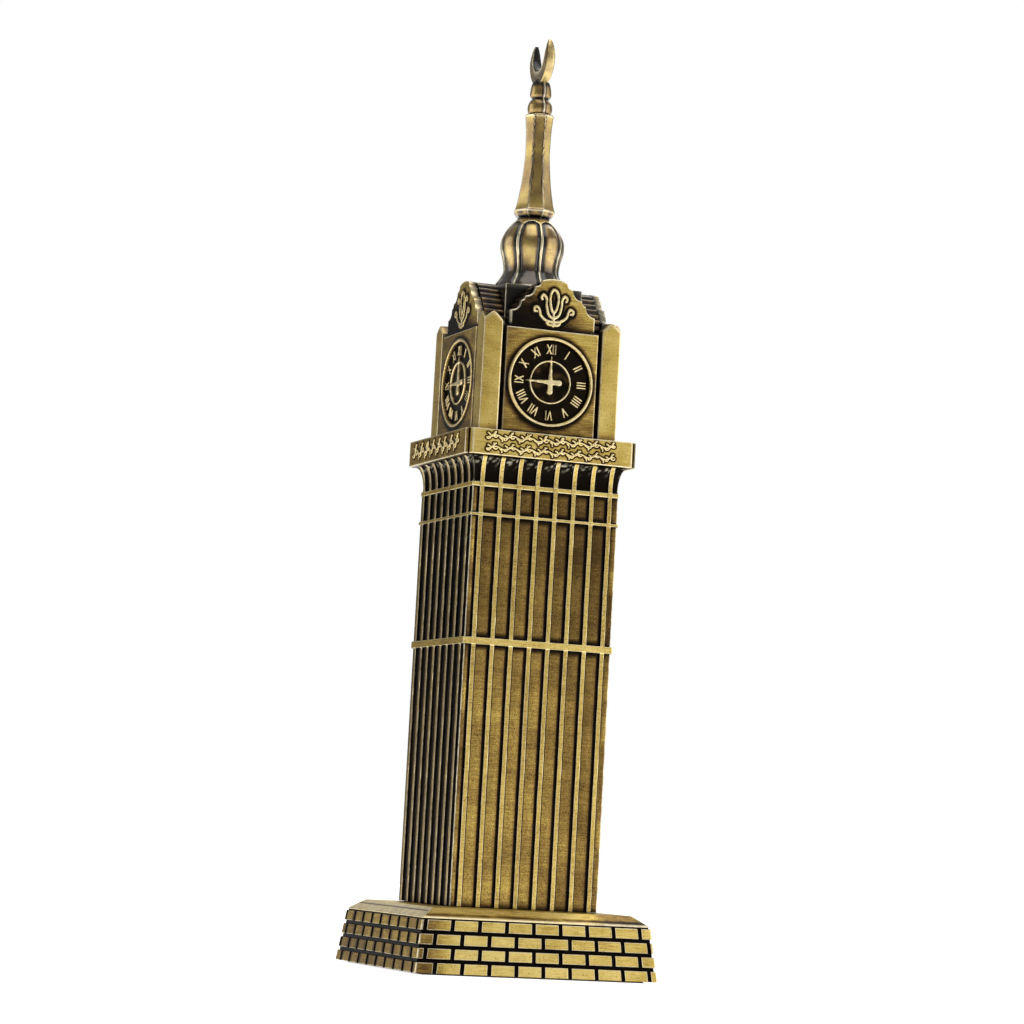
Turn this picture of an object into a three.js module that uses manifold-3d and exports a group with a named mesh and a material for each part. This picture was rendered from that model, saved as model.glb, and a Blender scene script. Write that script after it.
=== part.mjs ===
// Clock-tower souvenir in antique-plated zinc castings, millimetres, +Z up.
//
// The origin is the centre of the underside. The front is towards -Y. Each wall of the tower is a panel
// casting, mitred where it meets the next one. The plinth, the shaft, the clock head, the roof and the dome
// stand on each other and are drawn together by one threaded rod: the spire screws onto its upper end, and
// a nut under the plinth's deck tightens it.

import * as THREE from "three";
import { mergeVertices } from "three/addons/utils/BufferGeometryUtils.js";
import Module from "manifold-3d";

const wasm = await Module();
wasm.setup();

// ---------------------------------------------------------------- driving dimensions

// Gaps between castings.
const STACK_GAP = 0.1; // between a casting and the one it stands on or backs on to
const MITRE_GAP = 0.3; // solder line where two panels meet at a corner
const WALL = 1.8; // wall thickness of the castings

// Pad that the object rests on.
const PAD_THICKNESS = 1.2;
const PAD_PROUD = 0.3; // how far the pad stands below the plinth's rim
const PAD_CLEARANCE = 0.3; // all round, inside the rim

// Plinth: a battered wall of brick courses, a bevel and a deck.
const PLINTH_HALF = 23.9; // half-width at the foot
const PLINTH_BATTER = 1.35;
const PLINTH_WALL_HEIGHT = 9.95;
const PLINTH_LIP = 0.3; // height of the lip over the bricks
const PLINTH_LIP_INSET = 0.2; // of the lip, from the bricks
const PLINTH_BEVEL_RUN = 2.6;
const PLINTH_BEVEL_RISE = 1.7;
const PLINTH_DECK_RISE = 0.13; // from the bevel to the shaft's foot
const PLINTH_DECK_MARGIN = 0.5; // level deck round the shaft's foot
const COURSES = 4;
const JOINT_HEIGHT = 0.6; // mortar joint between two courses
const TOP_JOINT = 0.21; // what shows of the joint under the lip
const JOINT_DEPTH = 0.3;
const SHELF = 1.2; // ledge inside the rim that the pad is glued to

// Shaft: ribbed panels, three bands and a flared head.
const SHAFT_HALF = 14.95; // half-width over the ribs
const SHAFT_HEIGHT = 83.86;
const RIBS = 8; // on each face
const RIB_WIDTH = 0.95;
const RIB_PROUD = 0.4;
const RIB_EDGE = 2.03; // from the corner to the centre line of the last rib
const CORNER_STRIP = 1.2; // plain strip beside each corner
const STRIP_PROUD = 0.13; // of the panels' floor
const BANDS = [
  // height of the underside over the shaft's foot, height of the band, how proud it stands of the ribs
  [48.53, 1.43, 0.06],
  [72.62, 0.66, 0],
  [78.16, 0.94, -0.15],
];
const FLARE_HEIGHT = 4.55;
const FLARE_RUN = 1.3;
const FLARE_STEPS = 3;
const FOOT_PLATE_THICKNESS = 2.5;

// Collar: four bars with clipped corners, round a deck that carries the clock head.
const COLLAR_OVERHANG = 2.23; // beyond the shaft's ribs
const COLLAR_HEIGHT = 4.87;
const COLLAR_BAR = 2.1; // thickness of a bar
const COLLAR_CLIP = 1.16; // leg of the clipped corner

// Clock head: a core, a dial plate on each face and a post at each corner.
const HEAD_SETBACK = 1.1; // behind the shaft's ribs
const PLATE_HEIGHT = 20.13;
const PLATE_THICKNESS = 1.9;
const POST_WIDTH = 3.74;
const POST_HEIGHT = 21.34; // to the notch at the corner
const POST_SHOULDER = 0.3; // how far the inner shoulder is below the notch
const POST_PEAK = 1.55; // how far the point is above the notch
const SLOT = 0.8; // between a post and a dial plate
const DIAL_MARGIN = 0.66; // from the outer ring to the plate's edge
const DIAL_HEIGHT = 10.21; // dial centre over the collar
const RING_WIDTH = 0.78;
const RING_PROUD = 0.25;
const DIAL_DEPTH = 0.5; // dial floor below the plate's face
const INNER_RING_R = 4.25;
const INNER_RING_WIDTH = 0.47;
const RING_SIDES = 36;
const INNER_RING_SIDES = 24;
const HAND_LENGTH = 5.1;
const HAND_TAIL = 2.45;
const HAND_WIDTH = 1.3; // at the tail's round end
const HAND_TIP = 0.35;

// Roof: a gable and a ribbed dormer on each face of a central block.
const GABLE_INSET = 0.81; // inside the dial plate's edge
const GABLE_SETBACK = 0.4; // behind the dial plate's face
const GABLE_THICKNESS = 1.5;
const GABLE_SHOULDER = 3.16; // upright side under the scallops
const GABLE_CROWN = 0.7; // rise of the rounded crown
const SCALLOP_HOLLOW = 0.2; // how far a scallop is hollowed, as a share of its run
const SCALLOPS = [
  // inwards and upwards to the end of each scallop
  [2.0, 2.05],
  [0.8, 0.9],
  [1.95, 2.0],
  [1.15, 0.95],
];
const DORMER_INSET = 0.7; // inside the gable's edge
const DORMER_DROP = 0.1; // below the gable's edge
const BLOCK_INSET = 0.69; // central block's face inside the gable's edge
const BLOCK_HEIGHT = 9.1;

// Dome: eight lobes with a thin rib between them.
const DOME_HEIGHT = 14.15;
const DOME_LOBES = 8;
const DOME_LOBE_SIDES = 4;
const DOME_FOOT_INSET = 0.5; // foot's flare inside the block's faces
const DOME_WAIST_R = 5.35;
const DOME_BULGE_R = 6.2;
const DOME_TOP_R = 3.0;
const DOME_FLARE = 0.45; // wider than the waist, between the foot and the waist
const DOME_SHOULDER = 1.35; // narrower than the bulge, between the bulge and the top
const DOME_SHARES = [0, 0.12, 0.28, 0.58, 0.84, 1]; // heights of foot, flare, waist, bulge, shoulder, top
const DOME_GROOVE = 0.45; // depth of the valley between two lobes
const DOME_RIB = 0.12; // how proud the rib is of the lobes
const DOME_ROWS = 14;

// Spire: a waisted octagonal shaft with a lower rim.
const SPIRE_RIM_R = 4.2;
const SPIRE_FOOT_R = 3.6;
const SPIRE_NECK_R = 2.56;
const SPIRE_TOP_R = 2.93;
const SPIRE_SIDES = 8;
const SPIRE_LENGTH = 20.3;
const SPIRE_RIM_RISE = 1.2; // from the foot to the widest part of the rim
const SPIRE_NECK_HEIGHT = 13.5;
const SPIRE_WAIST = 0.2; // hollow of the side between the rim and the neck
const SPIGOT_R = 1.2;
const SPIGOT_LENGTH = 3.5;
const SPIGOT_CLEARANCE = 0.3;

// Finial: a flattened ball, a cup and an open crescent.
const BALL_R = 2.42;
const BALL_HEIGHT = 3.2;
const BALL_ARC = 1.1; // radians of the ball's section kept above and below its middle
const BALL_STEPS = 6;
const CUP_FOOT_R = 1.845;
const CUP_R = 2.05;
const CUP_NECK_R = 1.86;
const CUP_HEIGHT = 3.1;
const CUP_BULGE = 0.35; // height of the widest part, as a share of the cup's height
const CRESCENT_HALF = 4.7;
const CRESCENT_TIP = 3.7; // from the axis to each horn's point
const CRESCENT_HEIGHT = 8.2;
const CRESCENT_MOUTH = 2.7; // from the crescent's foot to the bottom of its opening
const CRESCENT_THICKNESS = 2.1;
const CRESCENT_BELLY = 1.13; // the outer handle over CRESCENT_HALF, so that the horn itself reaches it
const CRESCENT_LOW = 0.15; // heights of the outer curve's handles, as shares of the crescent's height
const CRESCENT_HIGH = 0.56;
const HORN_HANDLE = [1, 1.5]; // the inner curve's handle by a horn: in from the point, over the high handle
const MOUTH_HANDLE = [1.6, 0.4]; // the same by the mouth: out from the axis, over the mouth

// Rod, nut and washer.
const ROD_R = 1.5;
const ROD_CLEARANCE = 0.25;
const THREAD_CLEARANCE = 0.1; // drawn in the nut and the spire, where the thread is
const ROD_IN_SPIRE = 8;
const ROD_BELOW_NUT = 1;
const NUT_ACROSS_FLATS = 5.5;
const NUT_HEIGHT = 2.4;
const WASHER_R = 4.5;
const WASHER_THICKNESS = 0.6;

// ---------------------------------------------------------------- sizes that follow

const plinthFoot = PAD_PROUD;
const plinthTopHalf = PLINTH_HALF - PLINTH_BATTER;
const lipHalf = plinthTopHalf - PLINTH_LIP_INSET;
const bevelHalf = lipHalf - PLINTH_BEVEL_RUN;
const lipTop = plinthFoot + PLINTH_WALL_HEIGHT + PLINTH_LIP;
const bevelTop = lipTop + PLINTH_BEVEL_RISE;
const deckTop = bevelTop + PLINTH_DECK_RISE;
const deckHalf = SHAFT_HALF + PLINTH_DECK_MARGIN;
const deckUnder = deckTop - WALL;

const shaftFoot = deckTop + STACK_GAP;
const shaftTop = shaftFoot + SHAFT_HEIGHT;
const panelHalf = SHAFT_HALF - RIB_PROUD;
const shaftInner = panelHalf - WALL;
const flareFoot = shaftTop - FLARE_HEIGHT;
const ribPitch = (2 * (SHAFT_HALF - RIB_EDGE)) / (RIBS - 1);

const collarHalf = SHAFT_HALF + COLLAR_OVERHANG;
const collarInner = collarHalf - COLLAR_BAR;
const collarFoot = shaftTop + STACK_GAP;
const collarTop = collarFoot + COLLAR_HEIGHT;
const collarDeckHalf = collarInner - STACK_GAP;

const headHalf = SHAFT_HALF - HEAD_SETBACK;
const headFoot = collarTop + STACK_GAP;
const plateTop = headFoot + PLATE_HEIGHT;
const plateHalf = headHalf - POST_WIDTH - SLOT;
const plateBack = headHalf - PLATE_THICKNESS;
const coreHalf = plateBack - STACK_GAP;
const dialZ = headFoot + DIAL_HEIGHT;
const ringOuter = plateHalf - DIAL_MARGIN;
const ringInner = ringOuter - RING_WIDTH;

const gableHalf = plateHalf - GABLE_INSET;
const gableFace = headHalf - GABLE_SETBACK;
const gableFoot = plateTop + STACK_GAP;
const gableBack = gableFace - GABLE_THICKNESS;
const dormerHalf = gableHalf - DORMER_INSET;
const blockHalf = gableHalf - BLOCK_INSET;
const blockFoot = plateTop + STACK_GAP;
const blockTop = blockFoot + BLOCK_HEIGHT;

const domeFoot = blockTop + STACK_GAP;
const domeTop = domeFoot + DOME_HEIGHT;
const spireFoot = domeTop + STACK_GAP;
const spireTop = spireFoot + SPIRE_LENGTH;
const finialFoot = spireTop + STACK_GAP;
const cupFoot = finialFoot + BALL_HEIGHT;
const crescentFoot = cupFoot + CUP_HEIGHT;

const washerTop = deckUnder - STACK_GAP;
const nutTop = washerTop - WASHER_THICKNESS - STACK_GAP;
const rodFoot = nutTop - NUT_HEIGHT - ROD_BELOW_NUT;
const rodTop = spireFoot + ROD_IN_SPIRE;
const rodHoleR = ROD_R + ROD_CLEARANCE;

const CUT = 1; // how far a cutting tool runs past what it cuts
const FUSE = 0.3; // how far a raised detail is let into its own casting

// ---------------------------------------------------------------- geometry helpers

// Signed volume of a triangle mesh, positive when its faces point outwards.
function signedVolume(position, index) {
  const a = new THREE.Vector3();
  const b = new THREE.Vector3();
  const c = new THREE.Vector3();
  let volume = 0;
  for (let i = 0; i < index.count; i += 3) {
    a.fromBufferAttribute(position, index.getX(i));
    b.fromBufferAttribute(position, index.getX(i + 1));
    c.fromBufferAttribute(position, index.getX(i + 2));
    volume += a.dot(b.cross(c)) / 6;
  }
  return volume;
}

// Merges a closed geometry's shared corners and turns its faces outwards.
function closed(geometry) {
  const bare = geometry.clone();
  bare.deleteAttribute("normal");
  bare.deleteAttribute("uv");
  const merged = mergeVertices(bare, 1e-5);
  const triangles = [];
  const index = merged.getIndex();
  for (let i = 0; i < index.count; i += 3) {
    const corner = [index.getX(i), index.getX(i + 1), index.getX(i + 2)];
    if (new Set(corner).size === 3) triangles.push(...corner);
  }
  merged.setIndex(triangles);
  if (signedVolume(merged.getAttribute("position"), merged.getIndex()) < 0) {
    merged.setIndex(triangles.reverse());
  }
  return merged;
}

function solid(geometry) {
  const mesh = closed(geometry);
  const vertProperties = new Float32Array(mesh.getAttribute("position").array);
  const triVerts = new Uint32Array(mesh.getIndex().array);
  return new wasm.Manifold(new wasm.Mesh({ numProp: 3, vertProperties, triVerts }));
}

function geometryOf(body) {
  const mesh = body.getMesh();
  const geometry = new THREE.BufferGeometry();
  geometry.setAttribute("position", new THREE.BufferAttribute(mesh.vertProperties, 3));
  geometry.setIndex(new THREE.BufferAttribute(mesh.triVerts, 1));
  geometry.computeVertexNormals();
  return geometry;
}

function joined(bodies) {
  return bodies.reduce((whole, body) => whole.add(body));
}

function box(x0, x1, y0, y1, z0, z1) {
  const geometry = new THREE.BoxGeometry(x1 - x0, y1 - y0, z1 - z0);
  geometry.translate((x0 + x1) / 2, (y0 + y1) / 2, (z0 + z1) / 2);
  return geometry;
}

// Upright prism over a plan outline of [x, y] points.
function prism(outline, z0, z1) {
  const shape = new THREE.Shape(outline.map(([x, y]) => new THREE.Vector2(x, y)));
  const geometry = new THREE.ExtrudeGeometry(shape, { depth: z1 - z0, bevelEnabled: false });
  geometry.translate(0, 0, z0);
  return geometry;
}

// Prism over an elevation, a THREE.Shape in X and Z, running from y0 back to y1.
function elevation(shape, y0, y1, curveSegments = 6) {
  const geometry = new THREE.ExtrudeGeometry(shape, { depth: y1 - y0, bevelEnabled: false, curveSegments });
  geometry.rotateX(Math.PI / 2);
  geometry.translate(0, y1, 0);
  return geometry;
}

// Prism over a side view of [y, z] points, running from x0 to x1.
function sideProfile(outline, x0, x1) {
  const shape = new THREE.Shape(outline.map(([y, z]) => new THREE.Vector2(y, z)));
  const geometry = new THREE.ExtrudeGeometry(shape, { depth: x1 - x0, bevelEnabled: false });
  geometry.rotateX(Math.PI / 2);
  geometry.rotateZ(Math.PI / 2);
  geometry.translate(x0, 0, 0);
  return geometry;
}

// Solid of revolution about Z from [radius, z] points that start and end on the axis, or close.
function turned(profile, segments) {
  const points = profile.map(([r, z]) => new THREE.Vector2(r, z));
  const geometry = new THREE.LatheGeometry(points, segments);
  geometry.rotateX(Math.PI / 2);
  return geometry;
}

// The same with four flat sides that face the axes: each radius is a half-width.
function squareTurned(profile) {
  const points = profile.map(([half, z]) => new THREE.Vector2(half * Math.SQRT2, z));
  const geometry = new THREE.LatheGeometry(points, 4, Math.PI / 4);
  geometry.rotateX(Math.PI / 2);
  return geometry;
}

function rodHole(z0, z1, radius = rodHoleR) {
  const geometry = new THREE.CylinderGeometry(radius, radius, z1 - z0 + 2 * CUT, 20);
  geometry.rotateX(Math.PI / 2);
  geometry.translate(0, 0, (z0 + z1) / 2);
  return solid(geometry);
}

// Keeps the front quarter of a body, back from both corner diagonals by half the mitre gap.
function mitred(body, z0, z1) {
  const reach = 2 * PLINTH_HALF;
  const back = MITRE_GAP / Math.SQRT2;
  const quarter = [
    [0, -back],
    [-reach, -reach - back],
    [reach, -reach - back],
  ];
  return body.intersect(solid(prism(quarter, z0 - CUT, z1 + CUT)));
}

// ---------------------------------------------------------------- materials

function metal(color, roughness, metalness = 1) {
  return new THREE.MeshStandardMaterial({ color, roughness, metalness });
}

const BRONZE = metal(0x9c8250, 0.38);
const DARK_BRONZE = metal(0x4b3d26, 0.5);
const BRIGHT_BRONZE = metal(0xb9a064, 0.34);
const STEEL = metal(0x9a9ca0, 0.35);
const FOAM = metal(0x17171a, 0.95, 0);

const group = new THREE.Group();

function place(name, geometry, material, quarterTurns = 0) {
  const mesh = new THREE.Mesh(geometry, material);
  mesh.name = name;
  mesh.rotation.z = (quarterTurns * Math.PI) / 2;
  group.add(mesh);
}

// The same casting on all four faces: a quarter turn about Z takes the front to the right.
const FACES = ["front", "right", "back", "left"];

function placeRound(name, geometry, material) {
  FACES.forEach((face, turns) => place(`${name}_${face}`, geometry, material, turns));
}

// ---------------------------------------------------------------- base

function basePad() {
  const half = PLINTH_HALF - WALL - PAD_CLEARANCE;
  return closed(box(-half, half, -half, half, 0, PAD_THICKNESS));
}

// Half-width of the plinth's battered wall at a height over its foot.
function wallHalf(height) {
  return PLINTH_HALF - (PLINTH_BATTER * height) / PLINTH_WALL_HEIGHT;
}

// Outer profile of the wall: each course of bricks and the joint over it, which is cut short under the lip.
function courseProfile() {
  const pitch = (PLINTH_WALL_HEIGHT - TOP_JOINT + JOINT_HEIGHT) / COURSES;
  const profile = [];
  for (let course = 0; course < COURSES; course++) {
    const low = course * pitch;
    const high = low + pitch - JOINT_HEIGHT;
    const next = Math.min(low + pitch, PLINTH_WALL_HEIGHT);
    profile.push([wallHalf(low), plinthFoot + low]);
    profile.push([wallHalf(high), plinthFoot + high]);
    profile.push([wallHalf(high) - JOINT_DEPTH, plinthFoot + high]);
    profile.push([wallHalf(next) - JOINT_DEPTH, plinthFoot + next]);
  }
  return profile;
}

function plinthShell() {
  const padTop = PAD_THICKNESS + STACK_GAP;
  const rimInner = PLINTH_HALF - WALL;
  const profile = [
    [0, deckUnder],
    [deckHalf, deckUnder],
    [bevelHalf - WALL, deckUnder - PLINTH_BEVEL_RISE],
    [rimInner - SHELF, padTop],
    [rimInner, padTop],
    [rimInner, plinthFoot],
    ...courseProfile(),
    [lipHalf, lipTop - PLINTH_LIP],
    [lipHalf, lipTop],
    [bevelHalf, bevelTop],
    [deckHalf, deckTop],
    [0, deckTop],
  ];
  return geometryOf(solid(squareTurned(profile)).subtract(rodHole(deckUnder, deckTop)));
}

function footPlate() {
  const half = shaftInner - STACK_GAP;
  const top = shaftFoot + FOOT_PLATE_THICKNESS;
  const plate = solid(box(-half, half, -half, half, shaftFoot, top));
  return geometryOf(plate.subtract(rodHole(shaftFoot, top)));
}

// ---------------------------------------------------------------- shaft

// Side view of the flared head: a quarter ellipse that leaves a wall at face and leans out.
function flareOutline(face, inner) {
  const outline = [
    [-inner, shaftFoot],
    [-face, shaftFoot],
    [-face, flareFoot],
  ];
  for (let step = 1; step <= FLARE_STEPS; step++) {
    const angle = (step / FLARE_STEPS) * (Math.PI / 2);
    outline.push([-face - FLARE_RUN * (1 - Math.cos(angle)), flareFoot + FLARE_HEIGHT * Math.sin(angle)]);
  }
  outline.push([-inner, shaftTop]);
  return outline;
}

function shaftPanel() {
  const reach = collarHalf;
  const wall = solid(sideProfile(flareOutline(panelHalf, shaftInner), -reach, reach));
  const ribOutline = flareOutline(SHAFT_HALF, panelHalf - FUSE);
  const details = [];
  for (let rib = 0; rib < RIBS; rib++) {
    const x = (rib - (RIBS - 1) / 2) * ribPitch;
    details.push(solid(sideProfile(ribOutline, x - RIB_WIDTH / 2, x + RIB_WIDTH / 2)));
  }
  const strip = SHAFT_HALF - CORNER_STRIP;
  const stripFace = panelHalf + STRIP_PROUD;
  details.push(solid(box(-reach, -strip, -stripFace, -panelHalf + FUSE, shaftFoot, flareFoot)));
  details.push(solid(box(strip, reach, -stripFace, -panelHalf + FUSE, shaftFoot, flareFoot)));
  for (const [low, height, proud] of BANDS) {
    const face = SHAFT_HALF + proud;
    const z = shaftFoot + low;
    details.push(solid(box(-reach, reach, -face, -panelHalf + FUSE, z, z + height)));
  }
  return geometryOf(mitred(joined([wall, ...details]), shaftFoot, shaftTop));
}

// ---------------------------------------------------------------- collar

// A bar with half of the clipped corner at each end.
function collarBar() {
  const clipped = collarHalf - COLLAR_CLIP;
  const plan = [
    [-collarHalf, -clipped],
    [-clipped, -collarHalf],
    [clipped, -collarHalf],
    [collarHalf, -clipped],
    [collarHalf, -collarInner],
    [-collarHalf, -collarInner],
  ];
  return geometryOf(mitred(solid(prism(plan, collarFoot, collarTop)), collarFoot, collarTop));
}

// An upturned tray: its rim stands on the shaft panels and its deck carries the clock head.
function collarDeck() {
  const rim = collarDeckHalf - WALL;
  const under = collarTop - WALL;
  const profile = [
    [0, under],
    [rim, under],
    [rim, collarFoot],
    [collarDeckHalf, collarFoot],
    [collarDeckHalf, collarTop],
    [0, collarTop],
  ];
  return geometryOf(solid(squareTurned(profile)).subtract(rodHole(under, collarTop)));
}

// ---------------------------------------------------------------- clock head

// A hollow box behind the dial plates. Its top carries the roof.
function headCore() {
  const under = plateTop - WALL;
  const profile = [
    [0, under],
    [coreHalf - WALL, under],
    [coreHalf - WALL, headFoot],
    [coreHalf, headFoot],
    [coreHalf, plateTop],
    [0, plateTop],
  ];
  return geometryOf(solid(squareTurned(profile)).subtract(rodHole(under, plateTop)));
}

// A round disc on the dial's axis, between two distances in front of the centre.
function dialDisc(radius, near, far, segments) {
  const geometry = new THREE.CylinderGeometry(radius, radius, far - near, segments);
  geometry.translate(0, -(near + far) / 2, dialZ);
  return solid(geometry);
}

function ring(outer, inner, near, far, segments) {
  return dialDisc(outer, near, far, segments).subtract(dialDisc(inner, near - CUT, far + CUT, segments));
}

// A hand with a round tail, cast on the dial, turned by an angle from twelve o'clock.
function hand(turn, near, far) {
  const shape = new THREE.Shape();
  shape.moveTo(HAND_TIP / 2, HAND_LENGTH);
  shape.lineTo(-HAND_TIP / 2, HAND_LENGTH);
  shape.lineTo(-HAND_WIDTH / 2, -HAND_TAIL + HAND_WIDTH / 2);
  shape.absarc(0, -HAND_TAIL + HAND_WIDTH / 2, HAND_WIDTH / 2, Math.PI, 2 * Math.PI);
  shape.closePath();
  const geometry = elevation(shape, -far, -near, 5);
  geometry.rotateY(-turn);
  geometry.translate(0, 0, dialZ);
  return solid(geometry);
}

function dialPlate() {
  const floor = headHalf - DIAL_DEPTH;
  const face = headHalf + RING_PROUD;
  const plate = solid(box(-plateHalf, plateHalf, -headHalf, -plateBack, headFoot, plateTop));
  const sunk = plate.subtract(dialDisc(ringInner, floor, face, RING_SIDES));
  const relief = [
    ring(ringOuter, ringInner, headHalf - FUSE, face, RING_SIDES),
    ring(INNER_RING_R, INNER_RING_R - INNER_RING_WIDTH, floor - FUSE, headHalf, INNER_RING_SIDES),
    hand(0, floor - FUSE, headHalf),
    hand(Math.PI / 2, floor - FUSE, headHalf),
  ];
  return geometryOf(joined([sunk, ...relief]));
}

// An angle post: on each of its two faces the top is a pointed picket.
function cornerPost() {
  const inner = headHalf - POST_WIDTH;
  const notch = headFoot + POST_HEIGHT;
  const picket = new THREE.Shape([
    new THREE.Vector2(-headHalf, headFoot),
    new THREE.Vector2(-inner, headFoot),
    new THREE.Vector2(-inner, notch - POST_SHOULDER),
    new THREE.Vector2(-headHalf + POST_WIDTH / 2, notch + POST_PEAK),
    new THREE.Vector2(-headHalf, notch),
  ]);
  const frontLeg = solid(elevation(picket, -headHalf, -plateBack));
  const side = elevation(picket, -headHalf, -plateBack);
  side.scale(-1, 1, 1);
  side.rotateZ(-Math.PI / 2);
  return geometryOf(frontLeg.add(solid(side)));
}

// ---------------------------------------------------------------- roof

// Elevation of a gable: upright sides, scallops that step inwards, and a rounded crown. It is drawn for
// one half-width and lowered by drop, so that a dormer behind the gable follows it.
function gableShape(half, foot, drop) {
  const shrink = half / gableHalf;
  const outline = [[gableHalf, gableFoot + GABLE_SHOULDER]];
  for (const [run, rise] of SCALLOPS) {
    const [x, z] = outline.at(-1);
    outline.push([x - run, z + rise]);
  }
  const right = outline.map(([x, z]) => [x * shrink, z - drop]);
  const [crownX, crownZ] = right.at(-1);
  const shape = new THREE.Shape();
  shape.moveTo(-half, foot);
  shape.lineTo(half, foot);
  shape.lineTo(...right[0]);
  right.slice(1).forEach(([x, z], step) => {
    const [fromX, fromZ] = right[step];
    const hollow = (fromX - x) * SCALLOP_HOLLOW;
    shape.quadraticCurveTo((fromX + x) / 2 - hollow, (fromZ + z) / 2 - hollow, x, z);
  });
  shape.quadraticCurveTo(crownX / 2, crownZ + GABLE_CROWN, 0, crownZ + GABLE_CROWN);
  shape.quadraticCurveTo(-crownX / 2, crownZ + GABLE_CROWN, -crownX, crownZ);
  for (let step = right.length - 2; step >= 0; step--) {
    const [x, z] = right[step];
    const [fromX, fromZ] = right[step + 1];
    const hollow = (x - fromX) * SCALLOP_HOLLOW;
    shape.quadraticCurveTo(-(fromX + x) / 2 + hollow, (fromZ + z) / 2 - hollow, -x, z);
  }
  shape.closePath();
  return shape;
}

function gable() {
  return closed(elevation(gableShape(gableHalf, gableFoot, 0), -gableFace, -gableBack, 2));
}

function dormerRoof() {
  const shape = gableShape(dormerHalf, blockFoot, DORMER_DROP);
  const front = gableBack - STACK_GAP;
  return closed(elevation(shape, -front, -blockHalf - STACK_GAP, 2));
}

function roofBlock() {
  const block = solid(box(-blockHalf, blockHalf, -blockHalf, blockHalf, blockFoot, blockTop));
  return geometryOf(block.subtract(rodHole(blockFoot, blockTop)));
}

// ---------------------------------------------------------------- dome and spire

// Radius of the dome at a share of its height: flared foot, waist, bulge, then in to the spire.
function domeRadius(share) {
  const radii = [
    blockHalf - DOME_FOOT_INSET,
    DOME_WAIST_R + DOME_FLARE,
    DOME_WAIST_R,
    DOME_BULGE_R,
    DOME_BULGE_R - DOME_SHOULDER,
    DOME_TOP_R,
  ];
  const curve = new THREE.SplineCurve(radii.map((radius, k) => new THREE.Vector2(DOME_SHARES[k], radius)));
  return curve.getPoint(share).y;
}

function dome() {
  const profile = [[0, domeFoot]];
  for (let row = 0; row <= DOME_ROWS; row++) {
    const share = row / DOME_ROWS;
    profile.push([domeRadius(share), domeFoot + share * DOME_HEIGHT]);
  }
  profile.push([0, domeTop]);
  const sides = DOME_LOBES * DOME_LOBE_SIDES;
  const geometry = closed(turned(profile, sides));
  const position = geometry.getAttribute("position");
  for (let i = 0; i < position.count; i++) {
    const [x, y] = [position.getX(i), position.getY(i)];
    const radius = Math.hypot(x, y);
    if (radius < rodHoleR) continue; // the middle of the foot and of the top
    const turn = Math.atan2(y, x) / (2 * Math.PI);
    const side = Math.abs(Math.round(turn * sides)) % DOME_LOBE_SIDES;
    const beside = side === DOME_LOBE_SIDES / 2 ? 0 : -DOME_GROOVE / 2;
    const change = side === 0 ? DOME_RIB : beside;
    position.setXY(i, (x * (radius + change)) / radius, (y * (radius + change)) / radius);
  }
  return geometryOf(solid(geometry).subtract(rodHole(domeFoot, domeTop)));
}

// An octagonal shaft with a rim at the foot, a threaded hole below and a socket above.
function spireShaft() {
  const threadR = ROD_R + THREAD_CLEARANCE;
  const rimZ = spireFoot + SPIRE_RIM_RISE;
  const neckZ = spireFoot + SPIRE_NECK_HEIGHT;
  const curve = new THREE.SplineCurve([
    new THREE.Vector2(SPIRE_RIM_R, rimZ),
    new THREE.Vector2((SPIRE_RIM_R + SPIRE_NECK_R) / 2 - SPIRE_WAIST, (2 * rimZ + neckZ) / 3),
    new THREE.Vector2(SPIRE_NECK_R, neckZ),
    new THREE.Vector2(SPIRE_TOP_R, spireTop),
  ]);
  const side = curve.getPoints(8).map((point) => [point.x, point.y]);
  const profile = [[0, spireFoot], [SPIRE_FOOT_R, spireFoot], ...side, [0, spireTop]];
  const thread = rodHole(spireFoot, rodTop + STACK_GAP - CUT, threadR);
  const socketR = SPIGOT_R + SPIGOT_CLEARANCE;
  const socketFoot = spireTop - SPIGOT_LENGTH - SPIGOT_CLEARANCE;
  const socket = rodHole(socketFoot + CUT, spireTop, socketR);
  return geometryOf(solid(turned(profile, SPIRE_SIDES)).subtract(thread).subtract(socket));
}

// Elevation of the crescent across the finial: two horns that open upwards.
function crescentShape() {
  const foot = crescentFoot - FUSE;
  const top = crescentFoot + CRESCENT_HEIGHT;
  const mouth = crescentFoot + CRESCENT_MOUTH;
  const low = crescentFoot + CRESCENT_LOW * CRESCENT_HEIGHT;
  const high = crescentFoot + CRESCENT_HIGH * CRESCENT_HEIGHT;
  const belly = CRESCENT_HALF * CRESCENT_BELLY;
  const horn = [CRESCENT_TIP - HORN_HANDLE[0], high + HORN_HANDLE[1]];
  const round = [MOUTH_HANDLE[0], mouth + MOUTH_HANDLE[1]];
  const shape = new THREE.Shape();
  shape.moveTo(-CUP_NECK_R, foot);
  shape.lineTo(CUP_NECK_R, foot);
  shape.bezierCurveTo(CRESCENT_HALF, low, belly, high, CRESCENT_TIP, top);
  shape.bezierCurveTo(...horn, ...round, 0, mouth);
  shape.bezierCurveTo(-round[0], round[1], -horn[0], horn[1], -CRESCENT_TIP, top);
  shape.bezierCurveTo(-belly, high, -CRESCENT_HALF, low, -CUP_NECK_R, foot);
  return shape;
}

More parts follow.
